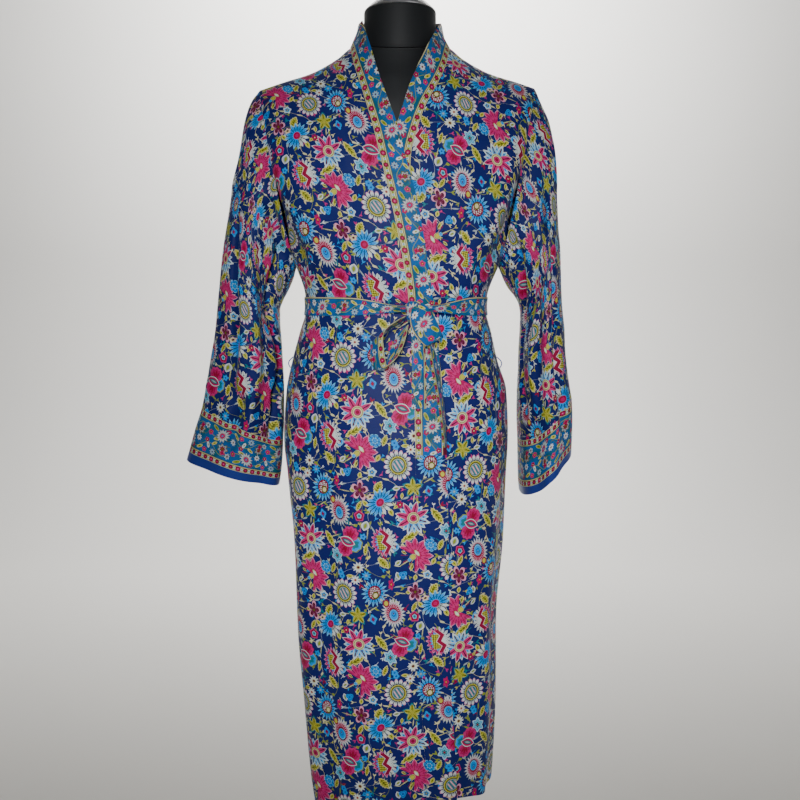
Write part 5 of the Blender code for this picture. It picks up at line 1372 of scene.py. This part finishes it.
    def zinnia(self):
        """Eighteen pointed petals round a red middle with pale dots and an off-centre eye."""
        x, y, reach, rim, _, gap = self.bloom(102, -18.6, 20, 23.5, -14, 18, 0.42)
        self.stamp(rim, "deep 0.52 sky 0.86 pale_sky 1 none")
        self.slits(reach, rim, gap, 0.45, 0.30)
        self.stamp(reach, "red 0.12 dark_red 0.2 red 0.44 dark_red 0.49 none")
        dots = self.points(self.lengths, 330, 0.35)
        self.touch((dots < 0.34) * (reach < 0.40), "white")
        heart = (x - 0.14).times(x - 0.14, (y + 0.16) * (y + 0.16))
        self.stamp(heart * 16, "cream 0.4 olive 1 none")

    def rayed_flower(self):
        """Twenty-three narrow rays, with an oval eye and a small cap over the rim."""
        x, y, reach, rim, _, gap = self.bloom(-37, -96.1, 19, 25, 10, 23, 0.30)
        self.stamp(rim, "red 0.74 navy 0.77 white 0.9 grey 1 none")
        self.slits(reach, rim, gap, 0.72, 0.36)
        self.veins(reach, rim, gap, 0.36, 0.76, 0.30, "blush")
        eye = y.times(0.35, reach)
        self.stamp(eye, "dark_red 0.05 sky 0.11 deep 0.15 sky 0.27 pale_sky 0.32 navy 0.36 none")
        cap = (x + 0.44).times(x + 0.44, (y - 0.70) * (y - 0.70))
        self.stamp(cap * 16, "yellow 0.4 red 1 none")

    def half_fan(self):
        """A flower whose petals are sky on one side and grey on the other, with a small bloom beside it."""
        reach, rim, turn, gap = self.bloom(27, -80.6, 20, 24.5, -38, 16, 0.34)[2:]
        pale = turn.math("COMPARE", 0, 0.62)
        sky = self.over(self.colour, rim, "deep 0.24 sky 0.5 deep 0.55 sky 0.86 pale_sky 1 none")
        grey = self.over(self.colour, rim, "dark_red 0.34 grey 0.5 olive 0.55 white 1 none")
        self.colour = self.mix(pale, sky, grey)
        self.slits(reach, rim, gap, 0.34, 0.24)
        self.stamp(reach, "magenta 0.14 red 0.22 magenta 0.27 none")
        rim = self.bloom(12, -72, 7, 5, 30, 5, 0.40)[3]
        self.stamp(rim, "dark_red 0.4 cream 0.8 blush 1 none")

    def scale_flower(self):
        """Scales on one side and a fringe on the other, a netted patch and a zigzag band between them."""
        x, y, reach, rim, turn, gap = self.bloom(33, -142.6, 20, 24.5, 12, 19, 0.26)
        right = abs(turn) < 1.35
        scales = self.over(self.colour, rim, "white 0.66 navy 0.69 white 0.84 grey 0.91 white 1 none")
        fringe = self.over(self.colour, rim, "leaf 0.5 pale_sky 0.6 sky 0.72 navy 0.75 pink 0.93 blush 1 none")
        self.colour = self.mix(right, fringe, scales)
        self.slits(reach, rim, gap, 0.66, 0.24)
        lattice = self.points(self.lengths, 300, 0.1)
        patch = (abs(y) < 0.50) * x.math("COMPARE", -0.20, 0.30)
        netted = self.mix(lattice > 0.40, INKS["yellow"], INKS["olive"])
        self.colour = self.mix(patch, self.colour, netted)
        bent = y.math("PINGPONG", 0.36) * 0.95
        self.stamp(abs(x - bent + 0.02) * 4.4, "red 0.4 dark_red 0.52 magenta 0.76 white 0.98 none", abs(y) < 0.74)

    def butterfly(self):
        """Two frilled wings beside a pointed oval body, over a third and smaller wing."""
        x, y = self.flower(-21, -144.2, 19, 24, -20)
        turn = y.math("ARCTAN2", x)
        frill = (turn * 17).math("SINE")
        side = x * 1.3 - 0.70
        wing = side.times(side, y * y * 2.2)
        wing = frill.times(0.05, wing)
        self.stamp(wing, "teal 0.16 sky 0.4 pale_sky 0.46 navy 0.49 leaf 0.62 none")
        tall = abs(abs(y) - 0.54) * 2
        wings = tall.times(tall, (x + 0.10) * (x + 0.10) * 2.4)
        wavy = frill.times(0.13, wings)
        self.stamp(wavy, "red 0.16 magenta 0.42 dark_red 0.47 pink 0.92 magenta 1 none")
        edge = (x + 0.14).times((x + 0.14) * 1.9, abs(y) * 2.9)
        self.stamp(edge, "grey 0.16 teal 0.34 dark_red 0.44 magenta 0.76 white 0.93 navy 1 none")

    def pink_star(self):
        """Eight long petals, most of them pink, over eight pale ones that show between them."""
        x, y, reach, rim, turn, gap = self.bloom(76, -105, 28, 27.5, 120, 8, 0.56)
        between = reach / (gap * 0.46 + 0.42)
        self.stamp(between, "deep 0.52 sky 0.7 deep 0.76 pale_sky 0.92 white 1 none")
        self.slits(reach, between, 1 - gap, 0.40, 0.14)
        most = turn.math("COMPARE", 0, 2)
        magenta = self.over(self.colour, rim, "magenta 0.42 red 0.48 pink 0.86 magenta 0.93 white 1 none")
        sky = self.over(self.colour, rim, "sky 0.5 deep 0.56 pale_sky 0.84 white 1 none")
        self.colour = self.mix(most, sky, magenta)
        self.veins(reach, rim, gap, 0.34, 0.80, 0.14, "dark_red")
        eye = (x + 0.03).times(x + 0.03, (y + 0.04) * (y + 0.04)).math("SQRT")
        self.stamp(eye, "red 0.1 pink 0.16 dark_red 0.19 cream 0.26 olive 0.29 cream 0.33 none")

    def star_leaf(self):
        """A leaf of five points, with veins."""
        reach, rim, _, gap = self.bloom(76.5, -57.4, 16.5, 17.5, 20, 5, 0.56)[2:]
        self.stamp(rim, "yellow 0.4 leaf 0.5 yellow 0.82 teal 1 none")
        self.veins(reach, rim, gap, 0.05, 0.80, 0.16, "olive")
        vein = (reach * 7 - gap * 2).math("PINGPONG", 0.5)
        self.touch((vein > 0.36) * (rim < 0.74), "olive")

    def plum_flower(self):
        """Five round plum petals with a pale rim."""
        reach, rim, _, gap = self.bloom(-3.5, -62.3, 12.5, 16.5, 12, 5, 0.62, soft=True)[2:]
        self.stamp(rim, "olive 0.16 dark_red 0.3 plum 0.58 dark_red 0.76 blush 1 none")
        self.veins(reach, rim, gap, 0.16, 0.70, 0.18, "dark_red")

    def border_field(self, along, down):
        """The field: stems, then small flowers, each repeated along the border."""
        for waves, bend, middle, wide, ink in (
            (2, 0.0075, 0.0245, 0.00055, "leaf"),
            (3, 0.0095, 0.0255, 0.0005, "teal"),
            (5, 0.0055, 0.0290, 0.0005, "olive"),
        ):
            wave = (along * (2 * math.pi / BORDER_STEP * waves)).math("SINE").times(bend, down - middle)
            self.touch(abs(wave) < wide, ink)
        for spot in BORDER_FLOWERS:
            near = (along - spot.right).math("WRAP", BORDER_STEP / 2, -BORDER_STEP / 2)
            above = down - spot.up
            cos, sin = math.cos(math.radians(spot.turn)), math.sin(math.radians(spot.turn))
            x = near.times(cos / spot.long, above * (sin / spot.long))
            y = above.times(cos / spot.wide, near * (-sin / spot.wide))
            _, rim, _, _ = self.petals(x, y, spot.petals, spot.depth)
            self.stamp(rim, spot.inks + " 1 none")

    def border_stripe(self, along, down, apart, wide):
        """The stripe: pale between two lines, with large and small rosettes by turns and a ring between each two."""
        self.stamp(down * 50, "cream 0.04 olive 0.06 cream 0.075 olive 0.1 cream 0.16 leaf 0.34 cream 0.4 olive "
                              "0.455 cream 0.51 olive 0.56 none")
        across_it = down - 0.0050
        for shift, size, inks in (
            (0, 0.0046, "blush 0.16 magenta 0.58 dark_red 0.68 red 0.9 navy"),
            (apart, 0.0038, "pink 0.26 red 0.6 dark_red 0.7 red 0.88 navy"),
        ):
            near = (along - shift).math("WRAP", apart, -apart)
            reach = near.times(near, across_it * across_it).math("SQRT")
            self.stamp(reach * (1 / size), inks + " 1 none")
        near = (along - apart / 2).math("WRAP", apart / 2, -apart / 2)
        reach = near.times(near, across_it * across_it).math("SQRT")
        self.stamp(reach * 480, "pale_sky 0.34 teal 0.62 white 1 none")
        if wide:
            olive, cream, red = ((wide - off) * 10 for off in (0.0026, 0.0018, 0.0007))
            self.stamp(down * 10, f"none {olive} olive {cream} cream {red} dark_red")


# Finishes
def woven(paint, colour, roughness, sheen, weave, wrinkle):
    """Finishes a cloth: colour that wanders a little, a fine weave and soft wrinkles in the bump, and a sheen."""
    lengths = paint.node("ShaderNodeUVMap", {"uv_map": "Cloth"})
    cloud, grain = paint.noise(lengths, 22, 3), paint.noise(lengths, 700, 2)
    colour = paint.shaded(colour, cloud * 0.20 + grain * 0.60 + 0.60)
    # Painted shade: the inner faces of single cloth, where the attribute inside is 1, are darkened towards dark blue
    # for the shade inside the robe and its loops
    inside = paint.node("ShaderNodeAttribute", {"attribute_name": "inside"}, output=2)
    colour = paint.mix(inside * 0.45, colour, (0.035, 0.050, 0.115))
    threads = paint.node("ShaderNodeMapping", None, {0: lengths, "Scale": (1, 0.34, 1)})
    relief = paint.noise(threads, 46, 2) * wrinkle + grain * weave
    return paint.feed(Base_Color=colour, Roughness=cloud * 0.10 + (roughness - 0.05), Normal=paint.bump(relief),
                      Sheen_Weight=sheen, Sheen_Roughness=0.45, Sheen_Tint=(0.75, 0.85, 1), Specular_IOR_Level=0.10)


def kept(name):
    """Makes a function's material only the first time that a piece asks for it."""
    def keep(make):
        return lambda: bpy.data.materials.get(name) or make(name)
    return keep


@kept("floral print")
def print_material(name):
    """The floral print: stems, leaves and small blossoms on dark blue, and the ten large flowers over them."""
    cloth = Cloth(name, colours().ground)
    cloth.motif("vines", cloth.vines)
    cloth.motif("small sprigs", cloth.sprigs, 92, 0.0029, 0.0009, 0.5,
                "none 0.54 cream 0.66 leaf 0.7 yellow 0.79 pink 0.86 sky 0.94 white")
    cloth.motif("large sprigs", cloth.sprigs, 58, 0.0040, 0.0013, 0.5,
                "none 0.64 leaf 0.76 cream 0.82 teal 0.9 red 0.95 grey")
    for title, places, inks in (
        ("stem", STEMS, "cream 0.7 leaf"),
        ("leaf", LEAVES, "olive 0.16 leaf 0.3 yellow 0.84 cream"),
        ("pale leaf", PALE_LEAVES, "leaf 0.35 grey 0.6 white"),
    ):
        for spot in places:
            cloth.motif(title, cloth.leaf, spot, inks)
    for spot in BLOSSOMS:
        cloth.motif("blossom", cloth.blossom, spot)
    for flower in (cloth.plum_flower, cloth.star_leaf, cloth.pink_star, cloth.butterfly, cloth.scale_flower,
                   cloth.half_fan, cloth.rayed_flower, cloth.zinnia, cloth.round_flower, cloth.lotus):
        cloth.motif(flower.__name__, flower)
    return woven(cloth, cloth.colour, 0.50, 0.04, 0.10, 0.9)


# The border print: a stripe of rosettes, and a field with small flowers, along the cloth's first length
BORDER_STEP = 0.112
BORDER_FLOWERS = table(Blossom, NOT_LENGTHS,
    (8, 33, 6, 6, 0, 8, 0.42, "dark_red 0.26 cream 0.32 red 0.38 white"),
    (3, 19, 6.5, 3.6, -30, 2, 0.3, "olive 0.34 yellow 0.84 cream"),
    (18, 16.5, 4.4, 4.4, 30, 5, 0.3, "cream 0.2 magenta 0.7 red"),
    (36, 35, 7, 3.4, 18, 2, 0.3, "olive 0.3 yellow 0.84 cream"),
    (42, 17, 7, 3.6, -25, 2, 0.3, "olive 0.3 leaf 0.8 yellow"),
    (27, 26, 15, 12, 60, 13, 0.4, "sky 0.1 teal 0.16 magenta 0.4 dark_red 0.45 grey 0.6 white 0.72 grey 0.93 navy"),
    (51, 28, 5, 5, 0, 5, 0.3, "yellow 0.22 red 0.6 pink"),
    (60, 19, 5, 5, 30, 6, 0.36, "dark_red 0.34 grey 0.84 white"),
    (71, 29, 9, 11.5, -20, 7, 0.42, "olive 0.2 red 0.46 dark_red 0.52 grey 0.82 olive"),
    (70, 22, 5, 4, 20, 4, 0.42, "red 0.5 magenta"), (87, 34, 6, 3.2, -35, 2, 0.3, "olive 0.3 yellow 0.8 cream"),
    (88, 18, 6, 6, 0, 8, 0.45, "dark_red 0.34 pale_sky 0.58 grey"), (99, 27, 5.5, 3.4, 70, 2, 0.3, "leaf 0.4 white"),
    (105, 17, 4.6, 4.6, 10, 5, 0.34, "yellow 0.24 magenta 0.74 pink"),
    (103, 35, 4.4, 4.4, 50, 5, 0.34, "cream 0.24 red 0.74 magenta"))


def border_material(kind, wide):
    """The border print: across it a stripe, a line and the field, and on the cuff the same again from its far edge."""
    name = f"border print of the {kind}"
    if name in bpy.data.materials:
        return bpy.data.materials[name]
    both = kind == "cuff"
    cloth = Cloth(name, colours().border)
    along = cloth.dot(cloth.lengths, (1, 0, 0))
    down = cloth.dot(cloth.lengths, (0, 1, 0))
    if both:
        far = down > wide / 2
        down = down.math("PINGPONG", wide / 2)
        along = along + far * (BORDER_STEP * 0.43)
    cloud = cloth.noise(cloth.lengths, 55, 1)
    cloth.colour = cloth.mix((cloud - 0.42) * 4, cloth.colour, (0.010, 0.090, 0.150))
    cloth.border_field(along, down)
    cloth.border_stripe(along, down, 0.0125 if both else 0.0186, 0 if both else wide)
    return woven(cloth, cloth.colour, 0.50, 0.04, 0.10, 0.5)


@kept("plain cloth")
def plain_material(name):
    """The plain blue cloth of the cuffs' edges, and the thread of the loops."""
    return woven(Paint(name), tuple(colours().plain), 0.46, 0.3, 0.14, 0.4)


@kept("form cover")
def cover_material(name):
    """A charcoal stretch cover: a fine rib, a slight cloud in the colour, a seam down the middle and a low gloss."""
    paint = Paint(name)
    place = paint.place()
    cloud, rib = paint.noise(place, 14, 4), paint.noise(place, 700, 1)
    colour = paint.shaded(tuple(colours().cover), cloud * 0.5 + rib * 0.3 + 0.60)
    x, z = paint.dot(place, (1, 0, 0)), paint.dot(place, (0, 0, 1))
    seam = (abs(x) < 0.0008) * (z < 1.40)
    colour = paint.mix(seam * 0.6, colour, (0.003, 0.003, 0.004))
    return paint.feed(Base_Color=colour, Roughness=cloud * 0.12 + 0.54, Normal=paint.bump(rib * 0.12 - seam * 0.6),
                      Sheen_Weight=0.10, Sheen_Roughness=0.5, Specular_IOR_Level=0.3)


@kept("polished steel")
def steel_material(name):
    """Polished steel: faint turning marks and smudges in its roughness."""
    paint = Paint(name)
    place = paint.place()
    marks = paint.node("ShaderNodeMapping", None, {0: place, "Scale": (4, 4, 700)})
    lines, smudge = paint.noise(marks, 1, 2), paint.noise(place, 16, 4)
    colour = paint.mix(smudge, (0.70, 0.71, 0.73), (0.80, 0.80, 0.81))
    return paint.feed(Base_Color=colour, Metallic=1, Roughness=lines * 0.08 + smudge * 0.16 + 0.20,
                      Normal=paint.bump(lines, 0.25, 0.0002))


@kept("black iron")
def iron_material(name):
    """Satin black powder coat: a fine grain, and a paler haze of dust."""
    paint = Paint(name)
    place = paint.place()
    grain, dust = paint.noise(place, 900, 2), paint.noise(place, 18, 6)
    colour = paint.mix(dust * 0.5, (0.015, 0.015, 0.017), (0.045, 0.044, 0.043))
    return paint.feed(Base_Color=colour, Roughness=dust * 0.25 + 0.30, Normal=paint.bump(grain, 0.35, 0.0003))


@kept("pale floor")
def floor_material(name):
    """A pale matt floor, with a faint cloud."""
    paint = Paint(name)
    colour = paint.mix(paint.noise(paint.place(), 1.5, 3), (0.76, 0.745, 0.71), (0.80, 0.785, 0.75))
    return paint.feed(Base_Color=colour, Roughness=0.75, Specular_IOR_Level=0.2)


# The stage
def aimed(item, target):
    """Turns a light or the camera so that its -Z axis points at the target."""
    ahead = np.array(target) - np.array(item.location)
    flat = math.hypot(ahead[0], ahead[1])
    item.rotation_euler = (math.pi / 2 + math.atan2(ahead[2], flat), 0.0, math.atan2(-ahead[0], ahead[1]))


def area_light(name, place, target, power, size, spread=180.0):
    """A round area light aimed at a point; a small spread, in degrees, makes it fall off to the sides."""
    data = bpy.data.lights.new(name, "AREA")
    data.energy = power
    data.shape = "DISK"
    data.size = size
    data.spread = math.radians(spread)
    item = bpy.data.objects.new(name, data)
    item.location = place
    bpy.context.scene.collection.objects.link(item)
    aimed(item, target)
    return item


def floor_sheet():
    """A pale floor that curves up behind into a plain backdrop: straight, a quarter circle, straight."""
    bend = np.radians(np.linspace(0.0, 90.0, 25))
    y = np.concatenate([[-5.0, 0.0, 1.6], 1.6 + 1.2 * np.sin(bend), [2.8]])
    z = np.concatenate([[0.0, 0.0, 0.0], 1.2 - 1.2 * np.cos(bend), [5.0]])
    x = np.array([-6.0, 6.0])
    points = np.stack([np.repeat(x, len(y)), np.tile(y, 2), np.tile(z, 2)], axis=1)
    i = np.arange(len(y) - 1)
    faces = np.stack([i, i + len(y), i + 1 + len(y), i + 1], axis=1)
    return put("floor", points, faces)


# What a user sees and sets
class RobeSizes(bpy.types.PropertyGroup):
    """Thicknesses of the cloth, the size of its mesh's cells, and the depth of its creases."""
    cell: bpy.props.FloatProperty(
        name="Mesh cell", description="Side of a cell of the cloth's mesh", default=0.0045, min=0.003, unit="LENGTH")
    cloth: bpy.props.FloatProperty(
        name="Cloth", description="Thickness of the single cloth", default=0.0009, unit="LENGTH")
    band_cloth: bpy.props.FloatProperty(
        name="Band", description="Thickness of the doubled band and of the cuff's edge", default=0.0018, unit="LENGTH")
    belt_cloth: bpy.props.FloatProperty(
        name="Belt", description="Thickness of the doubled belt", default=0.0016, unit="LENGTH")
    crease: bpy.props.FloatProperty(
        name="Creases", description="Share of the small creases' depth", default=1.0, min=0.0, max=1.5,
        subtype="FACTOR")


class RobeColours(bpy.types.PropertyGroup):
    """Grounds of the prints, and colours of the plain cloth and the form's cover."""
    ground: bpy.props.FloatVectorProperty(
        name="Ground", description="Dark blue ground of the floral print", default=(0.008, 0.014, 0.120), size=3,
        subtype="COLOR")
    border: bpy.props.FloatVectorProperty(
        name="Border", description="Bright blue field of the border print", default=(0.004, 0.098, 0.360), size=3,
        subtype="COLOR")
    plain: bpy.props.FloatVectorProperty(
        name="Plain", description="Dark blue of the cuffs' plain edge", default=(0.016, 0.036, 0.235), size=3,
        subtype="COLOR")
    cover: bpy.props.FloatVectorProperty(
        name="Cover", description="Charcoal of the dress form's cover", default=(0.0105, 0.012, 0.014), size=3,
        subtype="COLOR")


def dress(piece, slot, look, *nodes):
    """Lets a piece ride on the body, stand for its solids and take its material."""
    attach(piece, "root")
    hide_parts(*nodes)
    piece.data.materials.clear()
    piece.data.materials.append(look)


class ROBE_OT_form(bpy.types.Operator):
    """Make the dress form: torso, neck, cap, pole and base."""
    bl_idname = "robe.form"
    bl_label = "Dress form"

    def execute(self, context):
        cover = cover_material()
        dress(form_torso(), "jersey", cover, "form_torso")
        dress(form_neck(), "jersey", cover, "form_neck")
        cap = NECK_TOP + SEAM_GAP
        share = np.sin(np.linspace(0.02, 1.0, 24) * math.pi / 2)
        radius = NECK_RADIUS * 0.97
        dome = np.stack([radius * share, cap + 0.0025 + (CAP_HEIGHT - 0.0025) * (1 - share**2.2)], axis=1)
        rim = [(radius + 0.0006, cap + 0.0018), (radius, cap + 0.0004), (radius - 0.0008, cap), (0.01, cap)]
        steel = steel_material()
        dress(turned("dress_form_cap", np.concatenate([dome, rim]), (0.0, NECK_CENTRE_Y)), "metal", steel,
              "form_neck_cap")
        hub = BASE_THICKNESS + HUB_HEIGHT
        foot = hub + SEAM_GAP
        pole = [(0.004, FORM_BOTTOM - SEAM_GAP), (POLE_RADIUS, FORM_BOTTOM - SEAM_GAP)]
        pole += [(POLE_RADIUS, height) for height in np.linspace(FORM_BOTTOM - 0.01, foot + 0.01, 12)]
        pole += [(POLE_RADIUS, foot), (0.004, foot)]
        dress(turned("dress_form_pole", pole), "metal", steel, "form_pole")
        bend = np.radians(np.linspace(0, 90, 8))
        collar = [(HUB_RADIUS - 0.003 + 0.003 * math.sin(one), hub - 0.004 + 0.004 * math.cos(one)) for one in bend]
        slope = np.linspace(0, 1, 24)
        skirt = np.stack([through([0.0, 0.25, 0.6, 1.0], [HUB_RADIUS + 0.002, 0.034, 0.060, 0.110], slope),
                          BASE_THICKNESS + through([0.0, 0.25, 0.6, 1.0], [0.016, 0.008, 0.003, 0.0006], slope)],
                         axis=1)
        edge = [(BASE_RADIUS - 0.006 + 0.006 * math.sin(one), BASE_THICKNESS - 0.004 + 0.004 * math.cos(one))
                for one in bend]
        under = [(BASE_RADIUS, 0.001), (BASE_RADIUS - 0.001, 0.0), (0.02, 0.0)]
        profile = [(0.010, hub)] + collar + list(map(tuple, skirt)) + edge + under
        dress(turned("dress_form_base", profile, steps=160), "black_metal", iron_material(), "form_base")
        return {"FINISHED"}


class ROBE_OT_body(bpy.types.Operator):
    """Make the back and the two fronts of the robe."""
    bl_idname = "robe.body"
    bl_label = "Back and fronts"

    def execute(self, context):
        look = print_material()
        for word, flat, area, make, rest in (
            ("back", (0.60, 1.27), 0.66, back_panel, ()),
            ("front_right", (0.31, 1.26), 0.33, front_panel, (-1, OVER_EDGES, OVER_HEM, lap_lift, RIGHT_CREASES)),
            ("front_left", (0.30, 1.24), 0.315, front_panel, (1, UNDER_EDGES, UNDER_HEM, no_lift, LEFT_CREASES)),
        ):
            panel = make(word, *rest)
            dress(panel, "print", look, word)
        return {"FINISHED"}


class ROBE_OT_bands(bpy.types.Operator):
    """Make the neckband, in a border print above and the floral print below."""
    bl_idname = "robe.bands"
    bl_label = "Neckband"

    def execute(self, context):
        levels = body_levels()
        above = np.concatenate([[BORDER_END], levels[levels > BORDER_END + 0.002]])
        below = np.concatenate([levels[levels < BORDER_END - 0.002], [BORDER_END]])
        border, floral = border_material("band", BAND_WIDTH), print_material()
        for side, word, edges, hems, lift, stand in (
            (-1, "right", OVER_EDGES, OVER_HEM, lap_lift, OVER_STAND),
            (1, "left", UNDER_EDGES, UNDER_HEM, no_lift, UNDER_STAND),
        ):
            upper = band(f"robe_band_{word}", side, edges, hems, above, lift, stand)
            dress(upper, "border", border, f"band_{word}")
            lower = band(f"robe_band_{word}_lower", side, edges, hems, below, lift)
            dress(lower, "print", floral, f"band_{word}_lower")
        return {"FINISHED"}


class ROBE_OT_sleeves(bpy.types.Operator):
    """Make the two sleeves with their border and plain edge."""
    bl_idname = "robe.sleeves"
    bl_label = "Sleeves"

    def execute(self, context):
        looks = (("print", print_material()), ("border", border_material("cuff", CUFF_WIDTH)),
                 ("plain", plain_material()))
        for side, word, sections, folds, creases in (
            (-1, "right", RIGHT_SLEEVE, RIGHT_SLEEVE_FOLDS, RIGHT_SLEEVE_CREASES),
            (1, "left", LEFT_SLEEVE, LEFT_SLEEVE_FOLDS, LEFT_SLEEVE_CREASES),
        ):
            made = sleeve(side, word, sections, folds, creases)
            nodes = (f"sleeve_{word}", f"cuff_border_{word}", f"cuff_edge_{word}")
            for piece, node, look in zip(made, nodes, looks):
                dress(piece, *look, node)
        return {"FINISHED"}


class ROBE_OT_belt(bpy.types.Operator):
    """Make the belt: its turn round the waist, the knot, the loop, the flap, the two tails and the thread loops."""
    bl_idname = "robe.belt"
    bl_label = "Belt"

    def execute(self, context):
        look = border_material("band", BAND_WIDTH)
        waist = belt_waist()
        dress(waist, "border", look, "belt_waist")
        middle = knot()
        dress(middle, "border", look, "belt_knot")
        for name, node, stations, offset, flip, curl, edge, flat in (
            ("robe_belt_loop", "belt_bow_right", OPEN_LOOP, 0.21, -1.0, 0.0012, 0.0, (0.025, 0.18)),
            ("robe_belt_flap", "belt_bow_left", FLAP_LOOP, 0.555, -1.0, 0.0016, 0.011, (0.030, 0.09)),
            ("robe_belt_tail_right", "belt_tail_right", TAIL_RIGHT, 0.33, -1.0, 0.0010, 0.006, (0.023, 0.13)),
            ("robe_belt_tail_left", "belt_tail_left", TAIL_LEFT, 0.77, 1.0, 0.0016, 0.004, (0.026, 0.20)),
        ):
            piece = ribbon(name, stations, offset, flip, curl, edge)
            dress(piece, "border", look, node)
        thread = plain_material()
        for word, side in (("right", -1), ("left", 1)):
            dress(carrier(f"robe_carrier_{word}", side), "plain", thread, f"carrier_{word}")
        return {"FINISHED"}


class ROBE_OT_stage(bpy.types.Operator):
    """Make the floor, the lights and the camera."""
    bl_idname = "robe.stage"
    bl_label = "Stage"

    def execute(self, context):
        floor = floor_sheet()
        floor.data.materials.append(floor_material())
        area_light("key_high", (-0.20, -2.7, 1.75), (0.01, 0.0, 1.10), 1.45, 0.6, 24.0)
        area_light("key_low", (-0.15, -2.7, 1.05), (0.03, 0.0, 0.50), 1.2, 0.6, 24.0)
        area_light("fill", (1.6, -2.2, 1.0), (0.0, 0.0, 0.9), 7.0, 1.5)
        area_light("backdrop", (0.0, 1.3, 2.9), (0.0, 3.4, 1.9), 190.0, 1.6)
        world = bpy.data.worlds.new("studio")
        world.use_nodes = True
        sky = world.node_tree.nodes["Background"]
        sky.inputs["Color"].default_value = (1.0, 1.0, 1.0, 1.0)
        sky.inputs["Strength"].default_value = 0.07
        context.scene.world = world
        data = bpy.data.cameras.new("camera")
        data.lens = 37.8
        data.sensor_width = 36.0
        camera = bpy.data.objects.new("camera", data)
        camera.location = (0.0, -1.40, 1.0)
        camera.rotation_euler = (math.pi / 2 - math.atan(100 / 840), 0.0, 0.0)
        context.scene.collection.objects.link(camera)
        context.scene.camera = camera
        return {"FINISHED"}


STEPS = (ROBE_OT_form, ROBE_OT_body, ROBE_OT_bands, ROBE_OT_sleeves, ROBE_OT_belt, ROBE_OT_stage)


class ROBE_PT_panel(bpy.types.Panel):
    bl_idname = "ROBE_PT_panel"
    bl_label = "Printed robe"
    bl_space_type = "VIEW_3D"
    bl_region_type = "UI"
    bl_category = "Robe"

    def draw(self, context):
        for group in (context.scene.robe_sizes, context.scene.robe_colours):
            box = self.layout.box()
            for name in group.__annotations__:
                box.prop(group, name)
        for step in STEPS:
            self.layout.operator(step.bl_idname)


CLASSES = (RobeSizes, RobeColours) + STEPS + (ROBE_PT_panel,)


def register():
    """Tells Blender of the classes, and gives the scene its sizes and colours."""
    for one in CLASSES:
        bpy.utils.register_class(one)
    bpy.types.Scene.robe_sizes = bpy.props.PointerProperty(type=RobeSizes)
    bpy.types.Scene.robe_colours = bpy.props.PointerProperty(type=RobeColours)


def unregister():
    """Takes back what register added."""
    del bpy.types.Scene.robe_colours
    del bpy.types.Scene.robe_sizes
    for one in reversed(CLASSES):
        bpy.utils.unregister_class(one)


def main():
    """Makes every piece and the stage in order."""
    register()
    for step in STEPS:
        group, name = step.bl_idname.split(".")
        getattr(getattr(bpy.ops, group), name)()


if __name__ == "__main__":
    main()
